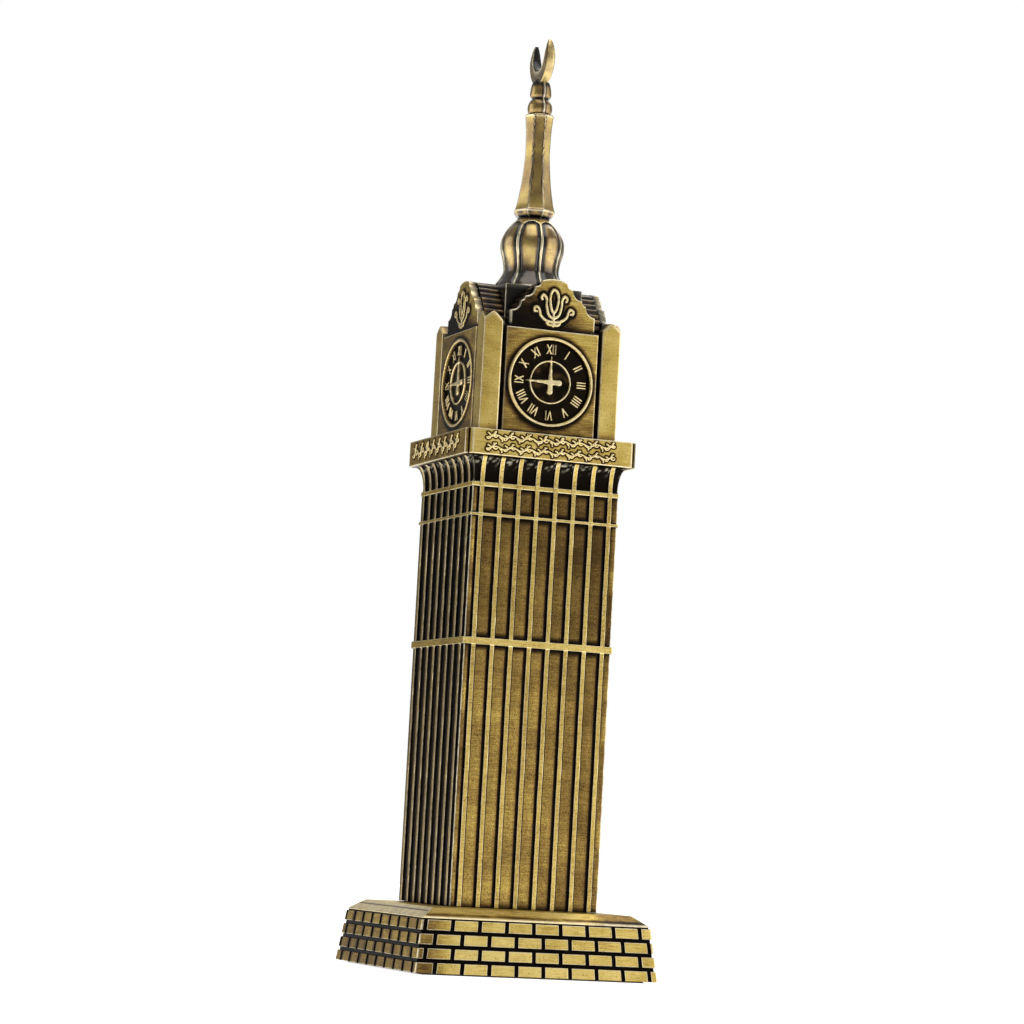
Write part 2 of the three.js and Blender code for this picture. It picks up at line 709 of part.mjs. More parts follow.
// Ball and cup turned in one with the spigot that plugs into the spire, and the crescent across them.
function crescentFinial() {
  const profile = [
    [0, finialFoot - SPIGOT_LENGTH],
    [SPIGOT_R, finialFoot - SPIGOT_LENGTH],
    [SPIGOT_R, finialFoot],
  ];
  for (let step = 0; step <= BALL_STEPS; step++) {
    const angle = BALL_ARC * ((2 * step) / BALL_STEPS - 1);
    const share = (1 + Math.sin(angle) / Math.sin(BALL_ARC)) / 2;
    profile.push([BALL_R * Math.cos(angle), finialFoot + BALL_HEIGHT * share]);
  }
  profile.push([CUP_FOOT_R, cupFoot]);
  profile.push([CUP_R, cupFoot + CUP_HEIGHT * CUP_BULGE]);
  profile.push([CUP_NECK_R, crescentFoot]);
  profile.push([0, crescentFoot]);
  const half = CRESCENT_THICKNESS / 2;
  const crescent = elevation(crescentShape(), -half, half, 8);
  crescent.rotateZ(Math.PI / 2);
  return geometryOf(solid(turned(profile, 16)).add(solid(crescent)));
}

// ---------------------------------------------------------------- fastening

function tieRod() {
  const geometry = new THREE.CylinderGeometry(ROD_R, ROD_R, rodTop - rodFoot, 16);
  geometry.rotateX(Math.PI / 2);
  geometry.translate(0, 0, (rodTop + rodFoot) / 2);
  return closed(geometry);
}

function rodWasher() {
  const low = washerTop - WASHER_THICKNESS;
  const disc = new THREE.CylinderGeometry(WASHER_R, WASHER_R, WASHER_THICKNESS, 24);
  disc.rotateX(Math.PI / 2);
  disc.translate(0, 0, washerTop - WASHER_THICKNESS / 2);
  return geometryOf(solid(disc).subtract(rodHole(low, washerTop)));
}

function rodNut() {
  const radius = NUT_ACROSS_FLATS / Math.sqrt(3);
  const low = nutTop - NUT_HEIGHT;
  const hexagon = new THREE.CylinderGeometry(radius, radius, NUT_HEIGHT, 6);
  hexagon.rotateX(Math.PI / 2);
  hexagon.translate(0, 0, nutTop - NUT_HEIGHT / 2);
  return geometryOf(solid(hexagon).subtract(rodHole(low, nutTop, ROD_R + THREAD_CLEARANCE)));
}

// ---------------------------------------------------------------- assembly

place("base_pad", basePad(), FOAM);
place("plinth_shell", plinthShell(), BRONZE);
place("foot_plate", footPlate(), DARK_BRONZE);
placeRound("shaft_panel", shaftPanel(), BRONZE);
placeRound("collar_bar", collarBar(), BRIGHT_BRONZE);
place("collar_deck", collarDeck(), DARK_BRONZE);
place("head_core", headCore(), DARK_BRONZE);
placeRound("dial_plate", dialPlate(), BRONZE);
placeRound("corner_post", cornerPost(), BRIGHT_BRONZE);
placeRound("gable", gable(), BRONZE);
placeRound("dormer_roof", dormerRoof(), DARK_BRONZE);
place("roof_block", roofBlock(), DARK_BRONZE);
place("dome", dome(), BRONZE);
place("spire_shaft", spireShaft(), BRIGHT_BRONZE);
place("crescent_finial", crescentFinial(), BRIGHT_BRONZE);
place("tie_rod", tieRod(), STEEL);
place("rod_washer", rodWasher(), STEEL);
place("rod_nut", rodNut(), STEEL);

export default group;
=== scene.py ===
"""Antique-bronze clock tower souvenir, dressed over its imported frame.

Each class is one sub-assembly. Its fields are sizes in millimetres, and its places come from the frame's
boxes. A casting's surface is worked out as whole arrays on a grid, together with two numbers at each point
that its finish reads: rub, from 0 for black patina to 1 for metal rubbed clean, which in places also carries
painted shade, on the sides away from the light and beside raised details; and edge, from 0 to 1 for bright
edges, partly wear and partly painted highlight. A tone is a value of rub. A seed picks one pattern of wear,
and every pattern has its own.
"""

import logging
import math
from collections.abc import Iterable, Sequence
from dataclasses import dataclass, field
from enum import Enum

import bpy
import numpy as np
from mathutils import Matrix, Vector


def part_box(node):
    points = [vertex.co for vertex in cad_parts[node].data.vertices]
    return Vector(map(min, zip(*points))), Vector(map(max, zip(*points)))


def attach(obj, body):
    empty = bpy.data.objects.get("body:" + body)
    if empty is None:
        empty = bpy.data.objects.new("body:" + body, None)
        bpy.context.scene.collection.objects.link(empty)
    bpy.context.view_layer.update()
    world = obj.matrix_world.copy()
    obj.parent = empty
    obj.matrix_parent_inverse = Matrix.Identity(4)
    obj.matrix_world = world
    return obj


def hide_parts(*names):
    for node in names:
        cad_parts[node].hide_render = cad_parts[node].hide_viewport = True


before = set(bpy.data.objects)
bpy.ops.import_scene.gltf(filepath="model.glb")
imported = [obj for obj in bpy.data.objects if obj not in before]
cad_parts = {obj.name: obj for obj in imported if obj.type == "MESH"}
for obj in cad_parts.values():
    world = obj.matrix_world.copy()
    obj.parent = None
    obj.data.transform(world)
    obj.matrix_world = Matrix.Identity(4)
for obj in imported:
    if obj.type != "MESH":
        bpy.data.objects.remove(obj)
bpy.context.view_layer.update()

Array = np.ndarray
MM = 0.001
BODY = "root"
LOG = logging.getLogger("clock_tower")
# how many sines add up to a drift, and how many plane waves to a mottling
DRIFT_SINES = 5
MOTTLE_WAVES = 11
# angle in degrees past which an edge is sharp
CREASE = 50.0
# distance inside a detail that stands for well away from it
AWAY = -9.0
# rub of backs and inner faces
HIDDEN_RUB = 0.1


class Face(Enum):
    """The four sides, by how many quarter turns about Z take the front there."""

    FRONT = 0
    RIGHT = 1
    BACK = 2
    LEFT = 3

    @property
    def label(self) -> str:
        """The side's name as the frame's nodes spell it."""
        return self.name.lower()


class Slot(Enum):
    """The record's material slots."""

    PLINTH = "plinth_bronze"
    SHAFT = "shaft_bronze"
    BRIGHT = "bright_bronze"
    DARK = "dark_bronze"
    DIAL = "dial_bronze"
    DOME = "dome_bronze"


# ---------------------------------------------------------------- numbers


def smooth_step(low: float | Array, high: float | Array, value: Array) -> Array:
    """Rises from 0 at low to 1 at high as 3t^2 - 2t^3.

    Args:
        low: Value where the rise starts.
        high: Value where it ends.
        value: Where to work it out.

    Returns:
        The height at each value, from 0 to 1.
    """
    share = np.clip((value - low) / (high - low), 0.0, 1.0)
    return share * share * (3.0 - 2.0 * share)


def raised(inside: Array, round_over: float) -> Array:
    """Height of a raised detail with a rounded edge: a quarter circle from 0 at its outline to 1.

    Args:
        inside: Distance inside the outline, negative outside.
        round_over: Distance inside at which the full height is reached.

    Returns:
        The height at each point, from 0 to 1.
    """
    depth = np.clip(inside / round_over, 0.0, 1.0)
    return np.sqrt(1.0 - (1.0 - depth) ** 2)


def bell(value: Array, centre: float, width: float) -> Array:
    """A bell curve of the value about a centre: exp(-((value - centre) / width)^2)."""
    return np.exp(-(((value - centre) / width) ** 2))


def rim(inside: Array) -> Array:
    """Bright line just inside an outline, painted highlight and wear together: 0 on the outline, 1 at 0.1 mm
    inside it and 0 again at 0.19 mm.
    """
    return smooth_step(0.03, 0.1, inside) * smooth_step(0.19, 0.1, inside)


def wander(along: Array, wave: float, seed: int) -> Array:
    """Slow uneven drift from -1 to 1: five sines of random phase whose lengths fall from wave.

    Args:
        along: Distance along the line that drifts.
        wave: Longest wavelength.
        seed: Picks the drift.

    Returns:
        The drift at each distance.
    """
    rng = np.random.default_rng(seed)
    total = np.zeros_like(along, dtype=float)
    for octave in range(DRIFT_SINES):
        length = wave / 1.7**octave
        total += np.sin(2 * np.pi * (along / length + rng.uniform())) / (1.0 + 0.6 * octave)
    return total / 2.6


def mottled(across: Array, up: Array, wave: float, seed: int) -> Array:
    """Blotches on a surface from -1 to 1: eleven plane waves of random heading, length and phase, summed.

    Args:
        across: First distance over the surface.
        up: Second distance over the surface.
        wave: Usual size of a blotch.
        seed: Picks the pattern.

    Returns:
        The pattern's value at each point.
    """
    rng = np.random.default_rng(seed)
    total = np.zeros(np.broadcast(across, up).shape)
    headings = rng.uniform(0, 2 * np.pi, MOTTLE_WAVES)
    lengths = rng.uniform(0.5, 1.7, MOTTLE_WAVES)
    phases = rng.uniform(0, 1, MOTTLE_WAVES)
    for heading, length, phase in zip(headings, lengths, phases):
        cycle = (across * math.cos(heading) + up * math.sin(heading)) / (wave * length)
        total += np.sin(2 * np.pi * (cycle + phase))
    return np.clip(total / 3.6, -1.0, 1.0)


def stations(low: float, high: float, step: float, breaks: Iterable[float] = ()) -> Array:
    """Grid lines from low to high: one at every break, and the gaps between them filled evenly.

    Args:
        low: First line.
        high: Last line.
        step: Widest gap to leave.
        breaks: Lines that must be there.

    Returns:
        The lines' places in rising order.
    """
    marks = np.unique(np.round(np.clip([low, high, *breaks], low, high), 4))
    counts = np.maximum(np.ceil(np.diff(marks) / step - 1e-6).astype(int), 1)
    runs = [np.linspace(a, b, n, endpoint=False) for a, b, n in zip(marks[:-1], marks[1:], counts)]
    return np.concatenate([*runs, marks[-1:]])


def through(points: Sequence[Sequence[float]], count: int) -> Array:
    """Smooth curve through points: Catmull-Rom, the same number of steps for each stretch.

    Args:
        points: Points that the curve passes, of any dimension.
        count: Steps for each stretch.

    Returns:
        The curve's points, one more than count times the stretches.
    """
    knots = np.asarray(points, dtype=float)
    padded = np.vstack([2 * knots[0] - knots[1], knots, 2 * knots[-1] - knots[-2]])
    t = np.linspace(0, 1, count, endpoint=False)[:, None]
    parts = []
    for a, b, c, d in zip(padded[:-3], padded[1:-2], padded[2:-1], padded[3:]):
        square, cube = 2 * a - 5 * b + 4 * c - d, 3 * b - a - 3 * c + d
        parts.append(0.5 * (2 * b + (c - a) * t + square * t**2 + cube * t**3))
    return np.vstack([*parts, knots[-1:]])


def from_path(across: Array, up: Array, path: Array) -> Array:
    """Distance from each point to a broken line: the least of its distances to the line's stretches.

    Args:
        across: First coordinate of each point.
        up: Second coordinate of each point.
        path: Corners of the line, one per row.

    Returns:
        The distances.
    """
    best = np.full(np.broadcast(across, up).shape, np.inf)
    for start, end in zip(path[:-1], path[1:]):
        run = end - start
        share = ((across - start[0]) * run[0] + (up - start[1]) * run[1]) / max(run @ run, 1e-9)
        share = np.clip(share, 0.0, 1.0)
        gap = np.hypot(across - start[0] - share * run[0], up - start[1] - share * run[1])
        best = np.minimum(best, gap)
    return best


def box_mm(node: str) -> tuple[Array, Array]:
    """Lowest and highest corner of a frame node, in millimetres."""
    low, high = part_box(node)
    return np.array(low) / MM, np.array(high) / MM


# ---------------------------------------------------------------- meshes


@dataclass
class Sheet:
    """Grid of surface points in millimetres, rows upwards, with the two numbers that a finish reads."""

    points: Array
    rub: Array
    edge: Array

    def turned(self, face: Face) -> "Sheet":
        """The sheet for another side: each quarter turn takes (x, y) to (-y, x) exactly."""
        return Sheet(quarter_turned(self.points, face), self.rub, self.edge)


def quarter_turned(points: Array, face: Face) -> Array:
    """Points of the front turned to a side about Z.

    Args:
        points: Points whose last axis is x, y, z.
        face: Side to turn them to.

    Returns:
        The turned points.
    """
    x, y, z = np.moveaxis(points, -1, 0)
    for _ in range(face.value):
        x, y = -y, x
    return np.stack([x, y, z], axis=-1)


def grid_quads(rows: int, columns: int, wrap_rows: bool = False, wrap_columns: bool = False) -> Array:
    """Faces of a grid of points, each going right, up, left and down.

    Args:
        rows: Number of rows.
        columns: Number of columns.
        wrap_rows: Whether the last row joins the first.
        wrap_columns: Whether the last column joins the first.

    Returns:
        Point numbers of each face, four to a row.
    """
    index = np.arange(rows * columns).reshape(rows, columns)
    if wrap_rows:
        index = np.vstack([index, index[:1]])
    if wrap_columns:
        index = np.hstack([index, index[:, :1]])
    corners = [index[:-1, :-1], index[:-1, 1:], index[1:, 1:], index[1:, :-1]]
    return np.stack(corners, axis=-1).reshape(-1, 4)


def mesh_object(
    name: str, points: Array, quads: Array, caps: Sequence[Array], rub: Array, edge: Array,
    crease: float = CREASE
) -> bpy.types.Object:
    """Puts a closed surface into a mesh object, smooth but for creases.

    Args:
        name: The piece's name.
        points: Points in millimetres.
        quads: Four point numbers for each face.
        caps: Point numbers of each face with more corners.
        rub: How rubbed each point is, with painted shade in places.
        edge: How bright each point's edge is: wear, and painted highlight.
        crease: Angle between two faces, in degrees, past which their edge is sharp.

    Returns:
        The object, at the origin.
    """
    mesh = bpy.data.meshes.new(name)
    corners = np.concatenate([quads.ravel(), *caps]).astype(np.int32)
    sizes = np.array([4] * len(quads) + [len(cap) for cap in caps])
    starts = np.concatenate([[0], np.cumsum(sizes)[:-1]]).astype(np.int32)
    mesh.vertices.add(len(points))
    mesh.vertices.foreach_set("co", (points * MM).astype(np.float32).ravel())
    mesh.loops.add(len(corners))
    mesh.loops.foreach_set("vertex_index", corners)
    mesh.polygons.add(len(sizes))
    mesh.polygons.foreach_set("loop_start", starts)
    mesh.update(calc_edges=True)
    mesh.validate()
    mesh.polygons.foreach_set("use_smooth", np.ones(len(mesh.polygons), dtype=bool))
    mesh.set_sharp_from_angle(angle=math.radians(crease))
    for label, values in (("rub", rub), ("edge", edge)):
        attribute = mesh.attributes.new(label, "FLOAT", "POINT")
        attribute.data.foreach_set("value", np.clip(values, 0.0, 1.0).astype(np.float32))
    piece = bpy.data.objects.new(name, mesh)
    bpy.context.scene.collection.objects.link(piece)
    return piece


def closed_panel(name: str, sheet: Sheet, back: Array) -> bpy.types.Object:
    """Closes a front sheet with four flat sides and a flat back.

    Args:
        name: The piece's name.
        sheet: The front.
        back: The back's corners: bottom left, bottom right, top right, top left as seen from the front.

    Returns:
        The object.
    """
    rows, columns = sheet.rub.shape
    index = np.arange(rows * columns).reshape(rows, columns)
    low_left, low_right, top_right, top_left = rows * columns + np.arange(4)
    caps = [
        np.concatenate([index[0, ::-1], [low_left, low_right]]),
        np.concatenate([index[::-1, -1], [low_right, top_right]]),
        np.concatenate([index[-1], [top_right, top_left]]),
        np.concatenate([index[:, 0], [top_left, low_left]]),
        np.array([low_right, low_left, top_left, top_right]),
    ]
    points = np.vstack([sheet.points.reshape(-1, 3), back])
    rub = np.concatenate([sheet.rub.ravel(), np.full(4, HIDDEN_RUB)])
    edge = np.concatenate([sheet.edge.ravel(), np.zeros(4)])
    return mesh_object(name, points, grid_quads(rows, columns), caps, rub, edge)


def slab(name: str, outer: Sheet, inner: Array) -> bpy.types.Object:
    """Closes a front sheet with a back sheet of the same grid and a rim between them.

    Args:
        name: The piece's name.
        outer: The front.
        inner: Points of the back, one behind each point of the front.

    Returns:
        The object.
    """
    rows, columns = outer.rub.shape
    index = np.arange(rows * columns).reshape(rows, columns)
    front = grid_quads(rows, columns)
    behind = front[:, ::-1] + rows * columns
    rim = np.concatenate([index[0, :-1], index[:-1, -1], index[-1, :0:-1], index[:0:-1, 0]])
    following = np.roll(rim, -1)
    sides = np.stack([following, rim, rim + rows * columns, following + rows * columns], axis=-1)
    points = np.vstack([outer.points.reshape(-1, 3), inner.reshape(-1, 3)])
    rub = np.concatenate([outer.rub.ravel(), np.full(rows * columns, HIDDEN_RUB)])
    edge = np.concatenate([outer.edge.ravel(), np.zeros(rows * columns)])
    return mesh_object(name, points, np.vstack([front, behind, sides]), [], rub, edge)


def lathe(name: str, sheet: Sheet, crease: float = CREASE) -> bpy.types.Object:
    """Closes a sheet that goes right round, with a flat cap at its first and last row.

    Args:
        name: The piece's name.
        sheet: The wall, whose columns run anticlockwise seen from above.
        crease: Angle past which an edge is sharp, in degrees.

    Returns:
        The object.
    """
    rows, columns = sheet.rub.shape
    index = np.arange(rows * columns).reshape(rows, columns)
    quads = grid_quads(rows, columns, wrap_columns=True)
    caps = [index[0, ::-1], index[-1]]
    points, rub, edge = sheet.points.reshape(-1, 3), sheet.rub.ravel(), sheet.edge.ravel()
    return mesh_object(name, points, quads, caps, rub, edge, crease)


def install(piece: bpy.types.Object, material: bpy.types.Material, slot: Slot, *nodes: str) -> None:
    """Dresses a piece, lets it ride on the body and stand for its nodes, and reports it.

    Args:
        piece: The new object.
        material: Its finish.
        slot: The record's slot that the finish belongs to; not used.
        nodes: Frame nodes that the piece stands for.
    """
    piece.data.materials.append(material)
    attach(piece, BODY)
    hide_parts(*nodes)
    LOG.info("%s: %d faces in place of %s", piece.name, len(piece.data.polygons), ", ".join(nodes))


# ---------------------------------------------------------------- finishes


class Recipe:
    """Node tree of one material, with one short call for each kind of node that the finishes share."""

    def __init__(self, name: str) -> None:
        """Starts a material with its shader and its Object coordinates."""
        self.material = bpy.data.materials.new(name)
        self.material.use_nodes = True
        self.nodes = self.material.node_tree.nodes
        self.links = self.material.node_tree.links
        self.shader = self.nodes["Principled BSDF"]
        self.place = self.nodes.new("ShaderNodeTexCoord").outputs["Object"]

    def feed(self, value: float | bpy.types.NodeSocket, socket: bpy.types.NodeSocket) -> None:
        """Sets a socket to a number, or links another socket to it."""
        if isinstance(value, bpy.types.NodeSocket):
            self.links.new(value, socket)
        else:
            socket.default_value = value

    def attribute(self, name: str) -> bpy.types.NodeSocket:
        """The value of one of the mesh's own attributes."""
        node = self.nodes.new("ShaderNodeAttribute")
        node.attribute_name = name
        return node.outputs["Fac"]

    def math(
        self, operation: str, first: float | bpy.types.NodeSocket, second: float | bpy.types.NodeSocket
    ) -> bpy.types.NodeSocket:
        """One sum of two values, each a number or a socket."""
        node = self.nodes.new("ShaderNodeMath")
        node.operation = operation
        self.feed(first, node.inputs[0])
        self.feed(second, node.inputs[1])
        return node.outputs[0]

    def noise(self, per_metre: tuple[float, float, float], detail: float = 3.0, coarse: float = 0.55,
              shift: float = 0.0) -> bpy.types.NodeSocket:
        """Noise on Object coordinates, about 0.5, with a number of grains to a metre along each axis."""
        mapping = self.nodes.new("ShaderNodeMapping")
        mapping.inputs["Scale"].default_value = per_metre
        mapping.inputs["Location"].default_value = (shift, 2 * shift, 3 * shift)
        self.links.new(self.place, mapping.inputs["Vector"])
        node = self.nodes.new("ShaderNodeTexNoise")
        node.inputs["Scale"].default_value = 1.0
        node.inputs["Detail"].default_value = detail
        node.inputs["Roughness"].default_value = coarse
        self.links.new(mapping.outputs[0], node.inputs["Vector"])
        return node.outputs[0]

    def stretch(self, value: bpy.types.NodeSocket, low: float, high: float, to_low: float = 0.0,
                to_high: float = 1.0) -> bpy.types.NodeSocket:
        """Maps low to to_low and high to to_high, and holds the ends."""
        node = self.nodes.new("ShaderNodeMapRange")
        node.inputs["From Min"].default_value = low
        node.inputs["From Max"].default_value = high
        node.inputs["To Min"].default_value = to_low
        node.inputs["To Max"].default_value = to_high
        self.links.new(value, node.inputs["Value"])
        return node.outputs[0]

    def ramp(self, value: bpy.types.NodeSocket, stops: Sequence[tuple[float, tuple[float, float, float]]]
             ) -> bpy.types.NodeSocket:
        """Colour for a value, between stops of (value, linear colour)."""
        node = self.nodes.new("ShaderNodeValToRGB")
        elements = node.color_ramp.elements
        while len(elements) < len(stops):
            elements.new(0.5)
        for element, (at, colour) in zip(elements, stops):
            element.position = at
            element.color = (*colour, 1.0)
        self.links.new(value, node.inputs[0])
        return node.outputs[0]

    def mix(self, share: float | bpy.types.NodeSocket, first: bpy.types.NodeSocket,
            second: tuple[float, float, float]) -> bpy.types.NodeSocket:
        """A share of the second colour laid over the first."""
        node = self.nodes.new("ShaderNodeMix")
        node.data_type = "RGBA"
        self.feed(share, node.inputs[0])
        self.links.new(first, node.inputs[6])
        node.inputs[7].default_value = (*second, 1.0)
        return node.outputs[2]

    def bump(self, height: bpy.types.NodeSocket, depth: float, strength: float) -> None:
        """Gives the shader a bump of a depth in millimetres from a height of 0 to 1."""
        node = self.nodes.new("ShaderNodeBump")
        node.inputs["Strength"].default_value = strength
        node.inputs["Distance"].default_value = depth * MM
        self.links.new(height, node.inputs["Height"])
        self.links.new(node.outputs[0], self.shader.inputs["Normal"])


PATINA = (
    (0.0, (0.0035, 0.0028, 0.002)),
    (0.2, (0.017, 0.0105, 0.005)),
    (0.42, (0.095, 0.056, 0.017)),
    (0.62, (0.28, 0.175, 0.046)),
    (0.8, (0.58, 0.415, 0.098)),
    (1.0, (0.80, 0.62, 0.215)),
)
# pale colour laid on edges: metal rubbed clean, and painted highlight
EDGE_WEAR_AND_HIGHLIGHT = (1.0, 0.91, 0.66)


@dataclass(frozen=True)
class AntiqueBronze:
    """Black patina over bronze, rubbed back to gold on what stands proud, brushed level and lacquered.

    rub is added to the mesh's own rub, so it is the whole rub on a mesh that has none. streaks, blotches,
    pits and grain say how much the brushing, the uneven patina, the casting's pits and its grain change it.
    glance is how much of the light that skims the surface it sends back.
    """

    name: str
    rub: float = 0.0
    streaks: float = 0.3
    blotches: float = 0.22
    pits: float = 0.35
    grain: float = 0.08
    coat: float = 0.5
    coat_ior: float = 1.38
    gold_gloss: float = 0.3
    glance: float = 0.6

    def material(self) -> bpy.types.Material:
        """Builds the material: rub + brushing + blotches - pits, read by a ramp from black to gold."""
        recipe = Recipe(self.name)
        rub = recipe.math("ADD", recipe.attribute("rub"), self.rub)
        streak = recipe.noise((380.0, 380.0, 6500.0), detail=4.0, coarse=0.62)
        blotch = recipe.noise((210.0, 210.0, 150.0), detail=4.0, coarse=0.6, shift=7.0)
        speck = recipe.noise((3300.0, 3300.0, 3300.0), detail=2.0, coarse=0.5, shift=3.0)
        pit = recipe.stretch(speck, 0.60, 0.70)
        give = recipe.stretch(rub, 0.0, 0.6, 0.12, 1.0)
        drift = recipe.math("MULTIPLY", recipe.math("SUBTRACT", streak, 0.5), 2.0 * self.streaks)
        cloud = recipe.math("MULTIPLY", recipe.math("SUBTRACT", blotch, 0.5), 2.0 * self.blotches)
        fleck = recipe.math("MULTIPLY", recipe.math("SUBTRACT", speck, 0.5), 2.0 * self.grain)
        wear = recipe.math("MULTIPLY", recipe.math("ADD", recipe.math("ADD", drift, cloud), fleck), give)
        wear_and_light = recipe.math("ADD", rub, wear)
        holes = recipe.math("MULTIPLY", recipe.math("MULTIPLY", pit, give), self.pits)
        wear_and_light = recipe.math("SUBTRACT", wear_and_light, holes)
        colour = recipe.ramp(wear_and_light, PATINA)
        # the edge values lay the pale colour on: wear, and painted highlight
        chips = recipe.noise((900.0, 900.0, 900.0), detail=3.0, coarse=0.6, shift=11.0)
        bare_and_highlight = recipe.math("MULTIPLY", recipe.attribute("edge"), recipe.stretch(chips, 0.34, 0.52, 0.45, 1.0))
        colour = recipe.mix(bare_and_highlight, colour, EDGE_WEAR_AND_HIGHLIGHT)
        recipe.links.new(colour, recipe.shader.inputs["Base Color"])
        shown = recipe.math("MAXIMUM", wear_and_light, bare_and_highlight)
        recipe.shader.inputs["Metallic"].default_value = 1.0
        rough = recipe.stretch(shown, 0.3, 0.85, 0.42, self.gold_gloss)
        rough = recipe.math("ADD", rough, recipe.math("MULTIPLY", recipe.math("SUBTRACT", streak, 0.5), 0.16))
        recipe.links.new(rough, recipe.shader.inputs["Roughness"])
        recipe.shader.inputs["Specular Tint"].default_value = (self.glance, self.glance, self.glance, 1.0)
        recipe.shader.inputs["Coat Weight"].default_value = self.coat
        recipe.shader.inputs["Coat Roughness"].default_value = 0.2
        recipe.shader.inputs["Coat IOR"].default_value = self.coat_ior
        pitted = recipe.math("MULTIPLY", pit, 0.6)
        height = recipe.math("SUBTRACT", recipe.math("MULTIPLY", streak, 0.6), pitted)
        recipe.bump(height, 0.03, 0.55)
        return recipe.material


@dataclass(frozen=True)
class RawCasting:
    """Unfinished zinc alloy as it leaves the mould: dull grey with darker clouds and grains."""

    name: str = "raw_casting"

    def material(self) -> bpy.types.Material:
        """Builds the material: colour and roughness from clouds, bump from grains."""
        recipe = Recipe(self.name)
        cloud = recipe.noise((260.0, 260.0, 260.0), detail=5.0)
        grain = recipe.noise((2400.0, 2400.0, 2400.0), detail=2.0, shift=5.0)
        colour = recipe.ramp(cloud, ((0.3, (0.12, 0.115, 0.11)), (0.7, (0.30, 0.29, 0.275))))
        recipe.links.new(colour, recipe.shader.inputs["Base Color"])
        recipe.links.new(recipe.stretch(cloud, 0.3, 0.7, 0.62, 0.45), recipe.shader.inputs["Roughness"])
        recipe.shader.inputs["Metallic"].default_value = 0.9
        recipe.bump(grain, 0.05, 0.6)
        return recipe.material


@dataclass(frozen=True)
class ZincSteel:
    """Bright zinc plate on steel: cool grey with faint yellow clouds and turning lines."""

    name: str = "zinc_steel"

    def material(self) -> bpy.types.Material:
        """Builds the material: colour from clouds, roughness and bump from fine lines."""
        recipe = Recipe(self.name)
        cloud = recipe.noise((420.0, 420.0, 420.0), detail=4.0)
        line = recipe.noise((500.0, 500.0, 9000.0), detail=2.0, shift=2.0)
        colour = recipe.ramp(cloud, ((0.35, (0.46, 0.45, 0.40)), (0.65, (0.62, 0.63, 0.64))))
        recipe.links.new(colour, recipe.shader.inputs["Base Color"])
        recipe.links.new(recipe.stretch(line, 0.35, 0.65, 0.26, 0.4), recipe.shader.inputs["Roughness"])
        recipe.shader.inputs["Metallic"].default_value = 1.0
        recipe.bump(line, 0.01, 0.4)
        return recipe.material


@dataclass(frozen=True)
class CellFoam:
    """Black closed-cell foam: dull, with fine open cells on its cut face."""

    name: str = "pad_foam"

    def material(self) -> bpy.types.Material:
        """Builds the material: colour and bump from cells about a third of a millimetre across."""
        recipe = Recipe(self.name)
        cells = recipe.nodes.new("ShaderNodeTexVoronoi")
        cells.inputs["Scale"].default_value = 2800.0
        recipe.links.new(recipe.place, cells.inputs["Vector"])
        wall = recipe.stretch(cells.outputs["Distance"], 0.1, 0.7)
        colour = recipe.ramp(wall, ((0.0, (0.006, 0.006, 0.007)), (1.0, (0.028, 0.028, 0.03))))
        recipe.links.new(colour, recipe.shader.inputs["Base Color"])
        recipe.shader.inputs["Roughness"].default_value = 0.92
        recipe.bump(wall, 0.12, 0.8)
        return recipe.material


# ---------------------------------------------------------------- plinth


